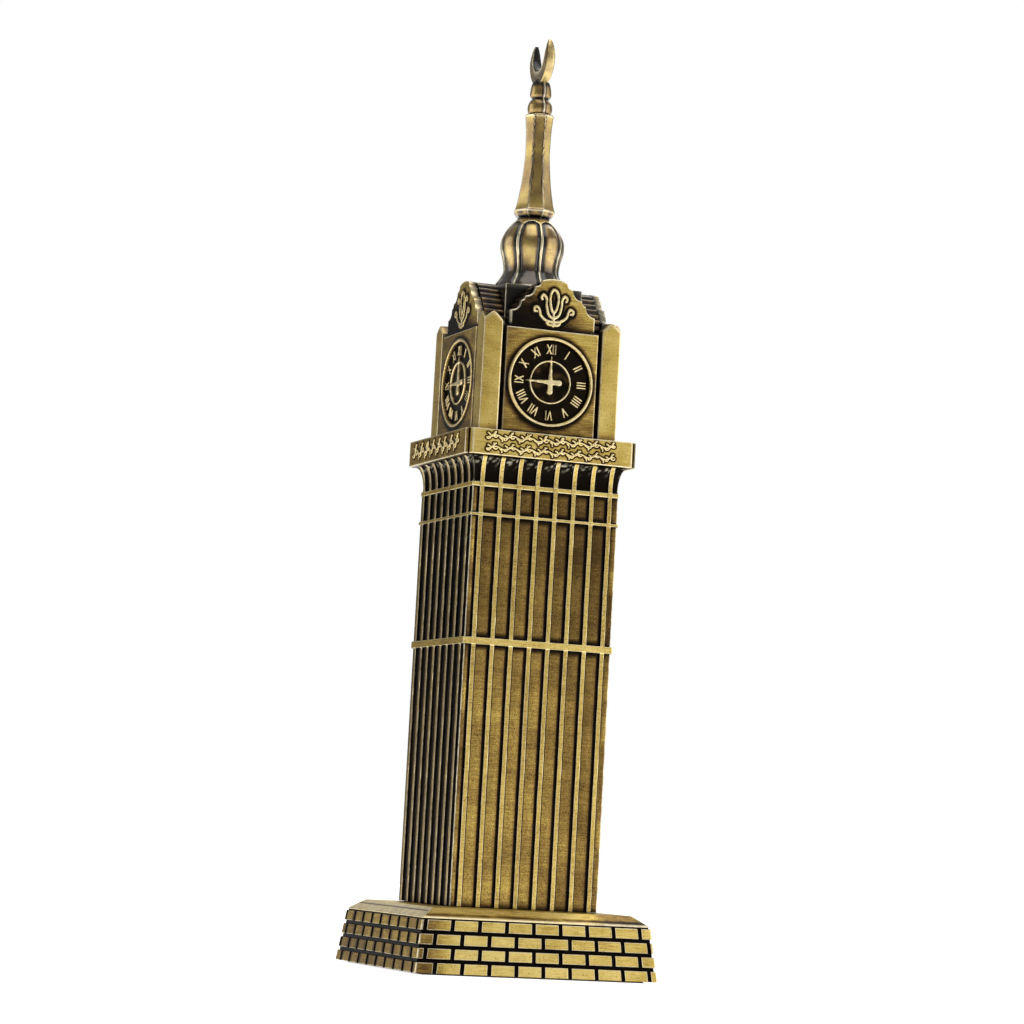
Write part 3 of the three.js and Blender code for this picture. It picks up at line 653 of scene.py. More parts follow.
@dataclass
class Plinth:
    """Hollow foot: battered walls of brick courses, a rounded lip, a bevel and a sloped deck."""

    batter: float = 1.35
    wall_height: float = 9.95
    courses: int = 4
    brick_height: float = 1.985
    bed_joint: float = 0.6
    brick_pitch: float = 5.28
    end_joint: float = 0.66
    joint_depth: float = 0.3
    brick_round: float = 0.1
    corner_round: float = 0.3
    lip: float = 0.3
    lip_inset: float = 0.2
    bevel_run: float = 2.6
    bevel_rise: float = 1.7
    deck_half: float = 15.45
    wall: float = 1.8
    shelf: float = 1.2
    shelf_height: float = 1.0
    hidden_half: float = 8.0
    crease: float = 40.0
    # rub of the brick faces and of the bevel, on the lit sides and then on the shaded ones, darker there as
    # painted shade
    brick_tones: tuple[float, float] = (0.9, 0.66)
    bevel_tones: tuple[float, float] = (0.98, 0.85)
    # the dark line along the bevel, lit and shaded: share of the way up, half-width, how dark it is
    grooves: tuple[tuple[float, float, float], ...] = ((0.22, 0.15, 0.42), (0.6, 0.06, 0.6))
    joint_tone: float = 0.02
    inner_tone: float = 0.35
    # pale edge colour as painted highlight along the lip, and as painted reflection over the bevel on the shaded
    # sides
    lip_shine: float = 0.9
    shaded_bevel_reflection: float = 0.45
    corner_angles: tuple[float, float] = (30.0, 60.0)
    # read from the frame
    foot: float = field(init=False)
    top: float = field(init=False)
    half: float = field(init=False)
    # grid lines beside a joint, as shares of a brick's rounded edge
    edge_lines: tuple[float, ...] = (0.0, 0.3, 1.0, 2.0)
    # first end joint from the middle of the face, from the lowest course up: front and back, then the sides
    joints: dict[int, tuple[float, ...]] = field(
        default_factory=lambda: {0: (1.07, 4.48, 1.04, 4.46), 1: (0.75, -1.25, 0.8, -0.78)}
    )

    def build(self) -> None:
        """Builds the shell as one closed loop of sections and dresses it."""
        low, high = box_mm("plinth_shell")
        self.foot, self.top, self.half = low[2], high[2], high[0]
        rows = self.section()
        parts = [self.side(face, rows) for face in Face]
        points = np.concatenate([part.points for part in parts], axis=1)
        rub = np.concatenate([part.rub for part in parts], axis=1)
        edge = np.concatenate([part.edge for part in parts], axis=1)
        quads = grid_quads(*rub.shape, wrap_rows=True, wrap_columns=True)
        points, rub, edge = points.reshape(-1, 3), rub.ravel(), edge.ravel()
        piece = mesh_object("plinth_casting", points, quads, [], rub, edge, self.crease)
        finish = AntiqueBronze("plinth_antique", pits=0.3, coat=0.05, gold_gloss=0.4, glance=0.75)
        install(piece, finish.material(), Slot.PLINTH, "plinth_shell")

    def brick_span(self, course: int) -> tuple[float, float]:
        """Lowest and highest level of a course over the foot."""
        low = course * (self.brick_height + self.bed_joint)
        return low, low + self.brick_height

    def section(self) -> Array:
        """The wall's section, as rows of half-width, height, and height over the foot.

        The last is -1 off the brick wall. The section goes up the brick wall, over the lip, bevel and deck,
        in under the shaft, and back down inside.

        Returns:
            One row of three numbers for each level.
        """
        breaks = []
        for course in range(self.courses):
            low, high = self.brick_span(course)
            for share in self.edge_lines:
                breaks += [low + share * self.brick_round, high - share * self.brick_round]
        heights = stations(0.08, self.wall_height, 0.9, breaks)
        halves = self.half - self.batter * heights / self.wall_height
        wall = np.stack([halves, self.foot + heights, heights], axis=1)
        top_half = self.half - self.batter - self.lip_inset
        lip = self.foot + self.wall_height
        outer = [
            (top_half, lip + 0.02), (top_half + 0.03, lip + 0.1), (top_half + 0.01, lip + 0.2),
            (top_half - 0.1, lip + self.lip),
        ]
        bevel_half = top_half - self.bevel_run
        bevel_top = lip + self.lip + self.bevel_rise
        slope = np.linspace(outer[-1], (bevel_half, bevel_top), 19)[1:]
        deck = np.linspace((bevel_half, bevel_top), (self.deck_half, self.top), 9)[1:]
        under = self.top - self.wall
        rim = self.half - self.wall
        inner = [
            (self.deck_half - 1.2, self.top), (self.hidden_half, self.top), (self.hidden_half, under),
            (self.deck_half, under), (bevel_half - self.wall, under - self.bevel_rise),
            (rim - self.shelf, self.foot + self.shelf_height), (rim, self.foot + self.shelf_height),
            (rim, self.foot), (self.half - 0.1, self.foot),
        ]
        rest = np.array([*outer, *slope, *deck, *inner])
        rest = np.column_stack([rest, np.full(len(rest), -1.0)])
        return np.vstack([wall, rest])

    def course_reach(self, course: int | Array) -> float | Array:
        """Half-width of the wall at the middle of a course, up to where its corner's round starts."""
        middle = course * (self.brick_height + self.bed_joint) + self.brick_height / 2
        return self.half - self.batter * middle / self.wall_height - self.corner_round

    def joint_places(self, face: Face, course: int) -> Array:
        """Middles of a course's end joints along the face."""
        first = self.joints[face.value % 2][course]
        count = int(self.half / self.brick_pitch) + 1
        places = first + self.brick_pitch * np.arange(-count, count + 1)
        if face in (Face.FRONT, Face.BACK):
            return places[np.abs(places) < self.half - 0.45]
        return places[np.abs(places) < self.half - 0.7]

    def side(self, face: Face, rows: Array) -> Sheet:
        """One side of the loop with the corner after it.

        Depth below the wall's face is the joint depth outside a brick's outline and nothing inside it, with
        rounded edges. Bed joints shrink the whole section, so that they turn the corner.

        Args:
            face: Which side.
            rows: The wall's section.

        Returns:
            The side's sheet.
        """
        half, height, over = rows.T
        course = np.clip((over / (self.brick_height + self.bed_joint)).astype(int), 0, self.courses - 1)
        brick_low = course * (self.brick_height + self.bed_joint)
        upright = np.minimum(over - brick_low, brick_low + self.brick_height - over)
        upright = np.where((over >= 0) & (brick_low == 0), brick_low + self.brick_height - over, upright)
        on_wall = over >= 0
        bed = np.where(on_wall, self.joint_depth * (1 - raised(upright, self.brick_round)), 0.0)
        inner = half - bed - self.corner_round
        breaks = []
        for number in range(self.courses):
            reach = self.course_reach(number)
            for place in self.joint_places(face, number):
                for share in self.edge_lines:
                    gap = self.end_joint / 2 + share * self.brick_round
                    breaks += [(place - gap) / reach, (place + gap) / reach]
        share = stations(-1.0, 1.0, 0.08, [u for u in breaks if abs(u) < 0.999])
        x = share[None, :] * inner[:, None]
        at_wall = share[None, :] * self.course_reach(course)[:, None]
        nearest = np.full(x.shape, np.inf)
        brick = np.zeros(x.shape)
        for number in range(self.courses):
            places = self.joint_places(face, number)
            gaps = np.abs(at_wall[:, :, None] - places).min(axis=2)
            here = (course == number)[:, None]
            nearest = np.where(here, gaps, nearest)
            brick = np.where(here, np.searchsorted(places, at_wall) + 17 * number, brick)
        inside = np.minimum(upright[:, None], nearest - self.end_joint / 2)
        total = np.where(on_wall[:, None], self.joint_depth * (1 - raised(inside, self.brick_round)), 0.0)
        y = -(half[:, None] - total)
        z = np.broadcast_to(height[:, None], x.shape)
        points = np.stack([x, y, z], axis=-1)
        tone = 0.06 * np.sin(brick * 12.9898 + face.value)
        ends = smooth_step(self.half - 9.0, self.half - 1.5, np.abs(x)) * np.where(x < 0, 0.34, 0.04)
        shaded = face in (Face.BACK, Face.LEFT)
        # the shaded sides take the darker tone: painted shade
        face_rub = self.brick_tones[shaded] + tone - ends * (not shaded)
        rub = self.joint_tone + (face_rub - self.joint_tone) * smooth_step(0.02, 0.09, inside)
        # painted shade on the shaded sides, darkening each brick beside its end joints
        beside_joint = smooth_step(0.0, 0.45, nearest - self.end_joint / 2) if shaded else 1.0
        rub = rub * beside_joint
        climb = (height - self.foot - self.wall_height - self.lip)[:, None] / self.bevel_rise
        slope = self.bevel_tones[shaded] - (not shaded) * 0.4 * smooth_step(4.0, 19.0, x)
        slope = slope + 0.06 * mottled(x * 0.2, height[:, None], 0.9, 40 + face.value)
        groove_at, groove_half, groove_dark = self.grooves[shaded]
        groove = bell(climb, groove_at, groove_half)
        slope = slope - groove_dark * groove
        foot_line = smooth_step(self.deck_half + 0.7, self.deck_half - 0.05, half)[:, None]
        slope = slope - 0.7 * foot_line
        off = ~on_wall[:, None]
        underside = (np.arange(len(half)) >= np.argmax(half == self.hidden_half))[:, None]
        rub = np.where(off, np.where(underside, self.inner_tone, slope), rub)
        # bright lines as painted highlight with wear: the lip and the bricks' edges; on the shaded sides only
        # their lower edges, and a painted reflection over the bevel
        lip = bell(height, self.foot + self.wall_height + 0.2, 0.16)[:, None] * self.lip_shine
        if shaded:
            bright = rim((over - brick_low)[:, None]) * beside_joint * on_wall[:, None]
            lip = np.maximum(lip, self.shaded_bevel_reflection * (climb > 0) * (climb < 1) * (1 - groove))
        else:
            bright = rim(inside)
        edge = np.where(off, np.where(underside, 0.0, lip), bright)
        steps = len(self.corner_angles)
        corner = self.corner(inner, height)
        corner_rub = np.repeat(rub[:, -1:], steps, axis=1)
        # bright rounded corners and upper edges off the wall: painted highlight, with wear
        corner_edge = np.where(upright[:, None] > 0.1, 0.9, 0.0) * on_wall[:, None] + off * ~underside * 0.6
        sheet = Sheet(
            np.concatenate([points, corner], axis=1),
            np.concatenate([rub, corner_rub], axis=1),
            np.concatenate([edge, np.repeat(corner_edge, steps, axis=1)], axis=1),
        )
        return sheet.turned(face)

    def corner(self, inner: Array, height: Array) -> Array:
        """Points of the rounded corner after a side: a quarter circle about (inner, -inner) at each level.

        Args:
            inner: Half-width to the start of the round, at each level.
            height: Each level's height.

        Returns:
            The points, a row for each level.
        """
        turn = np.radians(self.corner_angles)
        x = inner[:, None] + self.corner_round * np.sin(turn)
        y = -inner[:, None] - self.corner_round * np.cos(turn)
        z = np.broadcast_to(height[:, None], x.shape)
        return np.stack([x, y, z], axis=-1)


# ---------------------------------------------------------------- shaft


@dataclass
class Shaft:
    """Four ribbed castings that meet at mitred corners and flare out under the collar."""

    half: float = 14.95
    ribs: int = 8
    rib_width: float = 0.95
    rib_proud: float = 0.4
    rib_edge: float = 2.03
    rib_round: float = 0.1
    strip_proud: float = 0.13
    crown: float = 0.1
    wall: float = 1.8
    flare_height: float = 4.55
    flare_run: float = 1.3
    seam: float = 0.03
    # height of the underside over the foot, height of the band, how proud it stands of the panels' floor
    bands: tuple[tuple[float, float, float], ...] = (
        (48.53, 1.43, 0.46), (72.62, 0.66, 0.4), (78.16, 0.94, 0.27),
    )
    # rub of the panels' floors and of the ribs: front, right, back, left; the floors darken round to the left,
    # and the left ribs too, as painted shade
    tones: tuple[float, ...] = (0.67, 0.6, 0.45, 0.16)
    rib_tones: tuple[float, ...] = (0.79, 0.79, 0.79, 0.66)
    black: float = 0.03
    # grid lines across a corner strip, as shares of its width
    strip_lines: tuple[float, ...] = (0.3, 0.6, 0.82, 0.93, 1.0)
    # read from the frame
    foot: float = field(init=False)
    top: float = field(init=False)

    def build(self) -> None:
        """Builds and dresses the four castings."""
        finish = AntiqueBronze("shaft_antique", streaks=0.22, blotches=0.1, pits=0.45, grain=0.32, coat=0.03)
        material = finish.material()
        for face in Face:
            node = f"shaft_panel_{face.label}"
            low, high = box_mm(node)
            self.foot, self.top = low[2], high[2]
            sheet = self.panel(face)
            inner = self.half - self.rib_proud - self.wall
            back = np.array([
                (-inner, -inner, self.foot), (inner, -inner, self.foot),
                (inner, -inner, self.top), (-inner, -inner, self.top),
            ])
            piece = closed_panel(f"ribbed_panel_{face.label}", sheet.turned(face), quarter_turned(back, face))
            install(piece, material, Slot.SHAFT, node)

    def flare(self, z: Array) -> Array:
        """How far the wall leans out at a height: a quarter ellipse over the last stretch."""
        rise = np.clip((z - (self.top - self.flare_height)) / self.flare_height, 0.0, 1.0)
        return self.flare_run * (1 - np.sqrt(1 - rise**2))

    def panel(self, face: Face) -> Sheet:
        """The front of one casting.

        Height over the panels' floor is the greatest of the ribs, the bands, the corner strips and a shallow
        crown between ribs. The whole wall then leans out by the flare, and the corner strips stretch with it.

        Args:
            face: Which side it is for; it picks the wear.

        Returns:
            The sheet, on the front.
        """
        floor = self.half - self.rib_proud
        pitch = 2 * (self.half - self.rib_edge) / (self.ribs - 1)
        centres = (np.arange(self.ribs) - (self.ribs - 1) / 2) * pitch
        reach = centres[-1] + self.rib_width / 2 + 0.25
        offsets = [0.0, 0.03, self.rib_round, 0.2]
        half_rib = self.rib_width / 2
        breaks = [c + s * (half_rib - o) for c in centres for s in (-1, 1) for o in offsets]
        breaks += [c + s * (half_rib + o) for c in centres for s in (-1, 1) for o in (0.1, 0.3, 0.6)]
        middle = stations(-reach, reach, 0.7, breaks)
        flare_foot = self.top - self.flare_height
        levels = [flare_foot + self.flare_height * math.sin(a) for a in np.linspace(0, math.pi / 2, 14)]
        for low, height, _ in self.bands:
            for o in offsets:
                levels += [self.foot + low + o, self.foot + low + height - o]
            levels += [self.foot + low - 0.3, self.foot + low + height + 0.3]
        z = stations(self.foot, self.top, 0.85, levels)[:, None]
        share = np.array(self.strip_lines)
        band_height = np.zeros_like(z)
        band_inside = np.full_like(z, AWAY)
        for low, height, proud in self.bands:
            inside = np.minimum(z - self.foot - low, self.foot + low + height - z)
            band_height = np.maximum(band_height, proud * raised(inside, self.rib_round))
            band_inside = np.maximum(band_inside, inside)
        flare = self.flare(z)
        fade = 1 - smooth_step(flare_foot - 0.4, flare_foot + 0.2, z)
        strip = self.strip_proud * fade
        corner = floor + np.maximum(strip, band_height) + flare - self.seam
        left = -reach - share[::-1] * (corner - reach)
        right = reach + share * (corner - reach)
        x = np.concatenate([left, np.broadcast_to(middle, (len(z), len(middle))), right], axis=1)
        z = np.broadcast_to(z, x.shape)
        sway = 0.02 * wander(z, 21.0, 60 + face.value) + 0.008 * wander(z + 9 * x, 3.1, 70 + face.value)
        gap = np.abs((x - sway)[:, :, None] - centres).min(axis=2)
        rib_inside = half_rib - gap
        rib_inside = np.where(np.abs(x) > reach, AWAY, rib_inside)
        outside_strip = np.abs(x) > reach
        crown_share = np.clip(-rib_inside / (pitch / 2 - half_rib), 0.0, 1.0)
        crown = self.crown * np.sin(crown_share * np.pi / 2) * fade
        rib = self.rib_proud * raised(rib_inside, self.rib_round)
        ground = np.where(outside_strip, strip, crown * ~outside_strip)
        relief = np.maximum(np.maximum(rib, ground), band_height)
        y = -(floor + relief + flare)
        y[:, 0] = x[:, 0]
        y[:, -1] = -x[:, -1]
        points = np.stack([x, y, z], axis=-1)
        signed = centres - (x - sway)[:, :, None]
        nearest = np.abs(signed).argmin(axis=2)[:, :, None]
        before_rib = np.take_along_axis(signed, nearest, axis=2)[:, :, 0] > 0
        rub, edge = self.wear(face, x, z, rib_inside, band_inside, before_rib, outside_strip, fade)
        return Sheet(points, rub, edge)

    def wear(
        self, face: Face, x: Array, z: Array, rib_inside: Array, band_inside: Array, before_rib: Array,
        strip: Array, fade: Array
    ) -> tuple[Array, Array]:
        """Patina, painted shade and bright edges: black beside each rib and in the flare, gold on ribs and bands.

        Args:
            face: Which side.
            x: Distance across.
            z: Height.
            rib_inside: Distance inside the nearest rib.
            band_inside: Distance inside the nearest band.
            before_rib: Whether the nearest rib is to the right; the black reaches wider there, as painted shadow.
            strip: Whether a point is on a corner strip.
            fade: 1 under the flare and 0 in it.

        Returns:
            The rub, with its painted shade, and the edge wear with its painted highlights.
        """
        rise = (z - self.foot) / (self.top - self.foot)
        tone = self.tones[face.value]
        floor = tone - 0.2 * smooth_step(0.35, 1.0, rise) - 0.1 * smooth_step(-4.0, 13.0, x)
        floor += 0.04 * mottled(x, z, 14.0, 80 + face.value)
        floor += 0.03 * mottled(x * 0.3, z, 5.0, 90 + face.value)
        # black beside each rib: patina in the groove, and wider on a rib's left as painted shadow
        clear = np.where(before_rib, smooth_step(0.3, 0.7, -rib_inside), smooth_step(0.04, 0.22, -rib_inside))
        clear = clear * smooth_step(0.1, 0.7, -band_inside)
        foot_clear = smooth_step(0.0, 1.2, z - self.foot)
        floor = self.black + (floor - self.black) * clear * (0.4 + 0.6 * foot_clear)
        # black all over the flare: patina, and painted shade under the collar
        floor = np.where(fade > 0.5, floor, self.black)
        strip_tone = tone - 0.13 + 0.16 * mottled(x * 0.4, z, 7.0, 99 + face.value)
        strip_clear = smooth_step(0.0, 0.4, -band_inside) * (0.4 + 0.6 * foot_clear)
        strip_tone = 0.05 + (strip_tone - 0.05) * strip_clear
        floor = np.where(strip, np.where(fade > 0.5, strip_tone, 0.04), floor)
        top = self.rib_tones[face.value] + 0.05 * mottled(x, z, 16.0, 110 + face.value)
        top += 0.1 * smooth_step(-0.3, 0.1, band_inside)
        on_rib = smooth_step(0.02, self.rib_round, rib_inside)
        on_band = smooth_step(0.02, self.rib_round, band_inside)
        raised_rub = np.maximum(on_rib, on_band)
        rub = floor + (top - floor) * raised_rub
        # bright lines along ribs, bands and corners: wear, and painted highlight
        wear_and_light = 0.75 + 0.3 * wander(z + 3 * x, 6.0, 120 + face.value)
        edge = np.maximum(rim(rib_inside) * (band_inside < 0.05), rim(band_inside)) * wear_and_light
        ridge = np.zeros_like(x)
        ridge[:, :2] = 0.75
        ridge[:, -2:] = 0.75
        ridge *= (0.7 + 0.5 * wander(z, 5.0, 130 + face.value)) * (0.15 + 0.85 * fade)
        blobs = smooth_step(0.5, 0.7, mottled(x, z, 0.55, 135 + face.value)) * bell(z, self.top - 0.6, 0.7)
        return rub, np.clip(np.maximum(np.maximum(edge, ridge), 0.4 * blobs), 0.0, 1.0)


# ---------------------------------------------------------------- collar


@dataclass
class Collar:
    """Four bars with clipped corners and a raised running scroll, round a plain deck."""

    clip: float = 1.16
    bar: float = 2.1
    seam: float = 0.09
    edge_round: float = 0.16
    line: float = 0.115
    line_height: float = 0.22
    margin: float = 1.3
    vine_step: float = 1.7
    step: float = 0.09
    # rub of the bars: front, right, back, left; the left is darker as painted shade
    tones: tuple[float, ...] = (0.86, 0.86, 0.86, 0.66)
    # read from the frame
    foot: float = field(init=False)
    top: float = field(init=False)
    half: float = field(init=False)
    face: float = field(init=False)

    def build(self) -> None:
        """Builds and dresses the bars, and dresses the deck."""
        finish = AntiqueBronze("collar_antique", streaks=0.24, blotches=0.16, pits=0.25, coat=0.1)
        material = finish.material()
        low, high = box_mm("collar_bar_front")
        self.foot, self.top = low[2], high[2]
        self.half, self.face = high[0], -low[1]
        for face in Face:
            node = f"collar_bar_{face.label}"
            sheet = self.front(face)
            inner = self.face - self.bar
            gap = self.seam
            back = np.array([
                (-inner + gap, -inner, self.foot), (inner - gap, -inner, self.foot),
                (inner - gap, -inner, self.top), (-inner + gap, -inner, self.top),
            ])
            piece = closed_panel(f"collar_{face.label}", sheet.turned(face), quarter_turned(back, face))
            install(piece, material, Slot.BRIGHT, node)
        dark = AntiqueBronze("dark_antique", rub=0.22, streaks=0.14, blotches=0.25).material()
        for node in ("collar_deck", "head_core"):
            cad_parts[node].data.materials.clear()
            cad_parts[node].data.materials.append(dark)
            LOG.info("%s: kept, with a dark finish", node)

    def scroll(self, x: Array, z: Array, low: float, high: float, seed: int) -> Array:
        """Distance to one row of a running vine: a waving stem with a curl and a leaf in each of its hollows.

        A curl is a spiral whose radius falls evenly with its turn, and a leaf is an arc from the stem to the
        row's edge. Their sizes are drawn at random.

        Args:
            x: Distance across.
            z: Height.
            low: The row's lower edge.
            high: The row's upper edge.
            seed: Picks the row's draws.

        Returns:
            The distance from each point to the nearest line.
        """
        rng = np.random.default_rng(seed)
        size = (high - low) / 2
        middle = (high + low) / 2
        reach = self.half - self.clip - self.margin
        gap = np.full(x.shape, np.inf)
        turn = np.linspace(0, 1, 10)
        start = -reach + self.vine_step / 2
        count = round(2 * (reach - self.vine_step / 2) / self.vine_step)
        for number in range(count):
            at = start + (number + rng.uniform(-0.1, 0.1)) * self.vine_step
            side = 1 if number % 2 else -1
            radius = size * rng.uniform(0.66, 0.85) * (1 - 0.62 * turn)
            centre = middle + side * (size - radius[0])
            angle = np.pi / 2 * (1 - side) + side * np.pi * (0.5 + rng.uniform(1.2, 1.6) * turn)
            curl = np.column_stack([at + radius * np.cos(angle), centre + radius * np.sin(angle)])
            gap = np.minimum(gap, from_path(x, z, curl))
            lean = rng.uniform(0.1, 0.3)
            leaf = np.array([
                (at + 0.45 * self.vine_step, middle - side * 0.15 * size),
                (at + (0.55 + lean) * self.vine_step, middle - side * 0.6 * size),
                (at + (0.5 + 1.4 * lean) * self.vine_step, middle - side * size),
            ])
            if number < count - 1:
                gap = np.minimum(gap, from_path(x, z, through(leaf, 4)))
        run = np.linspace(start, start + (count - 1) * self.vine_step, 10 * count)
        stem = np.column_stack([run, middle - 0.3 * size * np.cos(np.pi * (run - start) / self.vine_step)])
        gap = np.minimum(gap, from_path(x, z, stem))
        return gap

    def front(self, face: Face) -> Sheet:
        """The face of one bar and half of the clipped corner at each end.

        Height over the face is the scroll's rounded line, and the long edges are rounded over.

        Args:
            face: Which side; front and back have two small rows of scroll, the others one large row.

        Returns:
            The sheet, on the front.
        """
        clipped = self.face - self.clip
        x = stations(-clipped, clipped, self.step)
        chamfer = np.array([0.12, 0.45, 0.75, 0.94])
        end = self.clip / 2 - self.seam
        right = clipped + chamfer * end
        tip = clipped + end
        columns = np.concatenate([[-tip], -right[::-1], x, right, [tip]])
        levels = [self.foot + o for o in (0.05, 0.1, self.edge_round)]
        levels += [self.top - o for o in (0.05, 0.1, self.edge_round)]
        z = stations(self.foot, self.top, self.step, levels)
        across, up = np.meshgrid(columns, z)
        past = np.clip(np.abs(across) - clipped, 0.0, None)
        base = self.face - past
        height = self.top - self.foot
        if face in (Face.FRONT, Face.BACK):
            mid = self.foot + height / 2
            gap = self.scroll(across, up, mid + 0.22, self.top - 0.5, 1 + face.value)
            gap = np.minimum(gap, self.scroll(across, up, self.foot + 0.55, mid - 0.22, 21 + face.value))
            line = self.line
        else:
            gap = self.scroll(across, up, self.foot + 1.0, self.top - 0.9, 31 + face.value)
            line = self.line * 1.25
        relief = self.line_height * smooth_step(line + 0.1, line - 0.06, gap)
        inside = np.minimum(up - self.foot, self.top - up)
        rounding = 0.13 * (1 - raised(inside, self.edge_round))
        out = base + relief - rounding
        points = np.stack([across, -out, up], axis=-1)
        tone = self.tones[face.value] + 0.05 * mottled(across, up, 8.0, 140 + face.value)
        shade = bell(gap, line + 0.16, 0.12) * 0.9
        rub = tone - shade
        rub = np.where(gap < line, 0.9, rub)
        seam = smooth_step(self.clip * 0.28, self.clip * 0.5, past)
        rub = rub - 0.75 * seam
        if face in (Face.FRONT, Face.BACK):
            rub = rub - 0.35 * smooth_step(0.02, 0.2, past) * (across > 0)
        # bright lines along the long edges, the clipped corner and the scroll: wear, and painted highlight
        edge = bell(inside, 0.1, 0.08) * 0.85 * (1 - seam)
        edge = np.maximum(edge, bell(past, 0.02, 0.07) * (np.abs(across) > clipped - 0.2) * 0.6)
        edge = np.maximum(edge, smooth_step(line, line - 0.1, gap) * 0.6)
        return Sheet(points, rub, edge)


# ---------------------------------------------------------------- clock head


@dataclass
class ClockHead:
    """Four dial plates in low relief between four angle posts with pointed tops."""

    ring_outer: float = 8.65
    ring_width: float = 0.78
    ring_proud: float = 0.25
    dial_depth: float = 0.5
    inner_ring: float = 4.25
    inner_ring_width: float = 0.47
    numeral_low: float = 5.5
    numeral_high: float = 7.15
    stroke: float = 0.17
    hand_length: float = 5.1
    hand_tail: float = 2.45
    hand_width: float = 1.3
    hand_tip: float = 0.32
    dial_height: float = 10.21
    plate_thickness: float = 1.9
    step: float = 0.1
    post_width: float = 3.74
    post_height: float = 21.34
    post_shoulder: float = 0.3
    post_peak: float = 1.55
    # rub of the plates round the dials: front, right, back, left; the left is darker as painted shade
    tones: tuple[float, ...] = (0.74, 0.74, 0.74, 0.66)
    post_tone: float = 0.81
    # read from the frame
    foot: float = field(init=False)
    top: float = field(init=False)
    plate_half: float = field(init=False)
    half: float = field(init=False)

    def build(self) -> None:
        """Builds and dresses the plates and the posts."""
        plate_material = AntiqueBronze(
            "dial_antique", streaks=0.34, blotches=0.2, pits=0.25, coat=0.1, glance=0.75
        ).material()
        post_material = AntiqueBronze(
            "post_antique", streaks=0.14, blotches=0.14, pits=0.32, grain=0.12, coat=0.15, glance=0.8
        ).material()
        low, high = box_mm("dial_plate_front")
        self.foot, self.top, self.plate_half = low[2], high[2], high[0]
        self.half = -box_mm("corner_post_front")[0][1]
        for face in Face:
            self.plate(face, plate_material)
            self.post(face, post_material)

    def numerals(self) -> list[Array]:
        """Strokes of the twelve numerals, each two points across and up from the dial's centre.

        A numeral is set out upright on its own middle line from its letters' widths, then turned to its hour.

        Returns:
            The strokes.
        """
        words = ("I", "II", "III", "IIII", "V", "VI", "VII", "VIII", "IX", "X", "XI", "XII")
        widths = {"I": 0.5, "V": 1.05, "X": 1.05}
        strokes = []
        for hour, word in enumerate(words, start=1):
            at = -sum(widths[letter] for letter in word) / 2
            turn = -hour * math.pi / 6
            for letter in word:
                left, right = at + 0.12, at + widths[letter] - 0.12
                middle = at + widths[letter] / 2
                low, high = self.numeral_low, self.numeral_high
                upright = [((middle, low), (middle, high))]
                vee = [((left, high), (middle, low)), ((middle, low), (right, high))]
                cross = [((left, low), (right, high)), ((left, high), (right, low))]
                shapes = {"I": upright, "V": vee, "X": cross}[letter]
                for start, end in shapes:
                    pair = np.array([start, end])
                    c, s = math.cos(turn), math.sin(turn)
                    strokes.append(pair @ np.array([[c, s], [-s, c]]))
                at += widths[letter]
        return strokes

    def hand(self, x: Array, up: Array) -> Array:
        """Distance inside a hand that points up: a taper from a round tail to a narrow tip."""
        tail = -self.hand_tail + self.hand_width / 2
        share = np.clip((up - tail) / (self.hand_length - tail), 0.0, 1.0)
        half = self.hand_width / 2 + share * (self.hand_tip - self.hand_width) / 2
        along = np.clip(up, tail, self.hand_length - self.hand_tip / 2)
        return half - np.hypot(x, up - along)

    def plate(self, face: Face, material: bpy.types.Material) -> None:
        """Builds one dial plate.

        Height over the plate's face is the ring's outside its inner edge, and inside it the sunk floor with
        the inner ring, the numerals and the two hands standing on it.

        Args:
            face: Which side.
            material: Its finish.
        """
        half = self.plate_half
        edges = (0.04, 0.1, 0.2)
        x = stations(-half, half, self.step, [s * (half - o) for s in (-1, 1) for o in edges])
        marks = [self.foot + o for o in edges] + [self.top - o for o in edges]
        z = stations(self.foot, self.top, self.step, marks)
        across, height = np.meshgrid(x, z)
        up = height - self.foot - self.dial_height
        radius = np.hypot(across, up)
        ring_inner = self.ring_outer - self.ring_width
        ring = np.minimum(radius - ring_inner, self.ring_outer - radius)
        inner = np.minimum(radius - self.inner_ring + self.inner_ring_width, self.inner_ring - radius)
        hands = np.maximum(self.hand(across, up), self.hand(up, -across))
        gap = np.full(radius.shape, np.inf)
        for stroke in self.numerals():
            gap = np.minimum(gap, from_path(across, up, stroke))
        numeral = self.stroke - gap
        ramp = 0.16
        ring_level = self.ring_proud * smooth_step(0.0, ramp * 1.4, ring)
        on_floor = np.maximum(smooth_step(-0.06, ramp, inner), smooth_step(-0.06, ramp, hands))
        on_floor = np.maximum(on_floor, 0.75 * smooth_step(-0.1, 0.08, numeral))
        level = np.where(radius > ring_inner, ring_level, -self.dial_depth * (1 - on_floor))
        level = np.where(np.abs(radius - ring_inner) < 0.06, -self.dial_depth * 0.4, level)
        inside = np.minimum(half - np.abs(across), np.minimum(height - self.foot, self.top - height))
        level = level - 0.12 * (1 - raised(inside, 0.18))
        points = np.stack([across, -(self.half + level), height], axis=-1)
        patches = mottled(across, height, 2.4, 150 + face.value)
        floor = 0.08 + 0.17 * np.clip(patches, 0, 1) * (radius < self.inner_ring) + 0.04 * patches
        turned = np.arctan2(up, across)
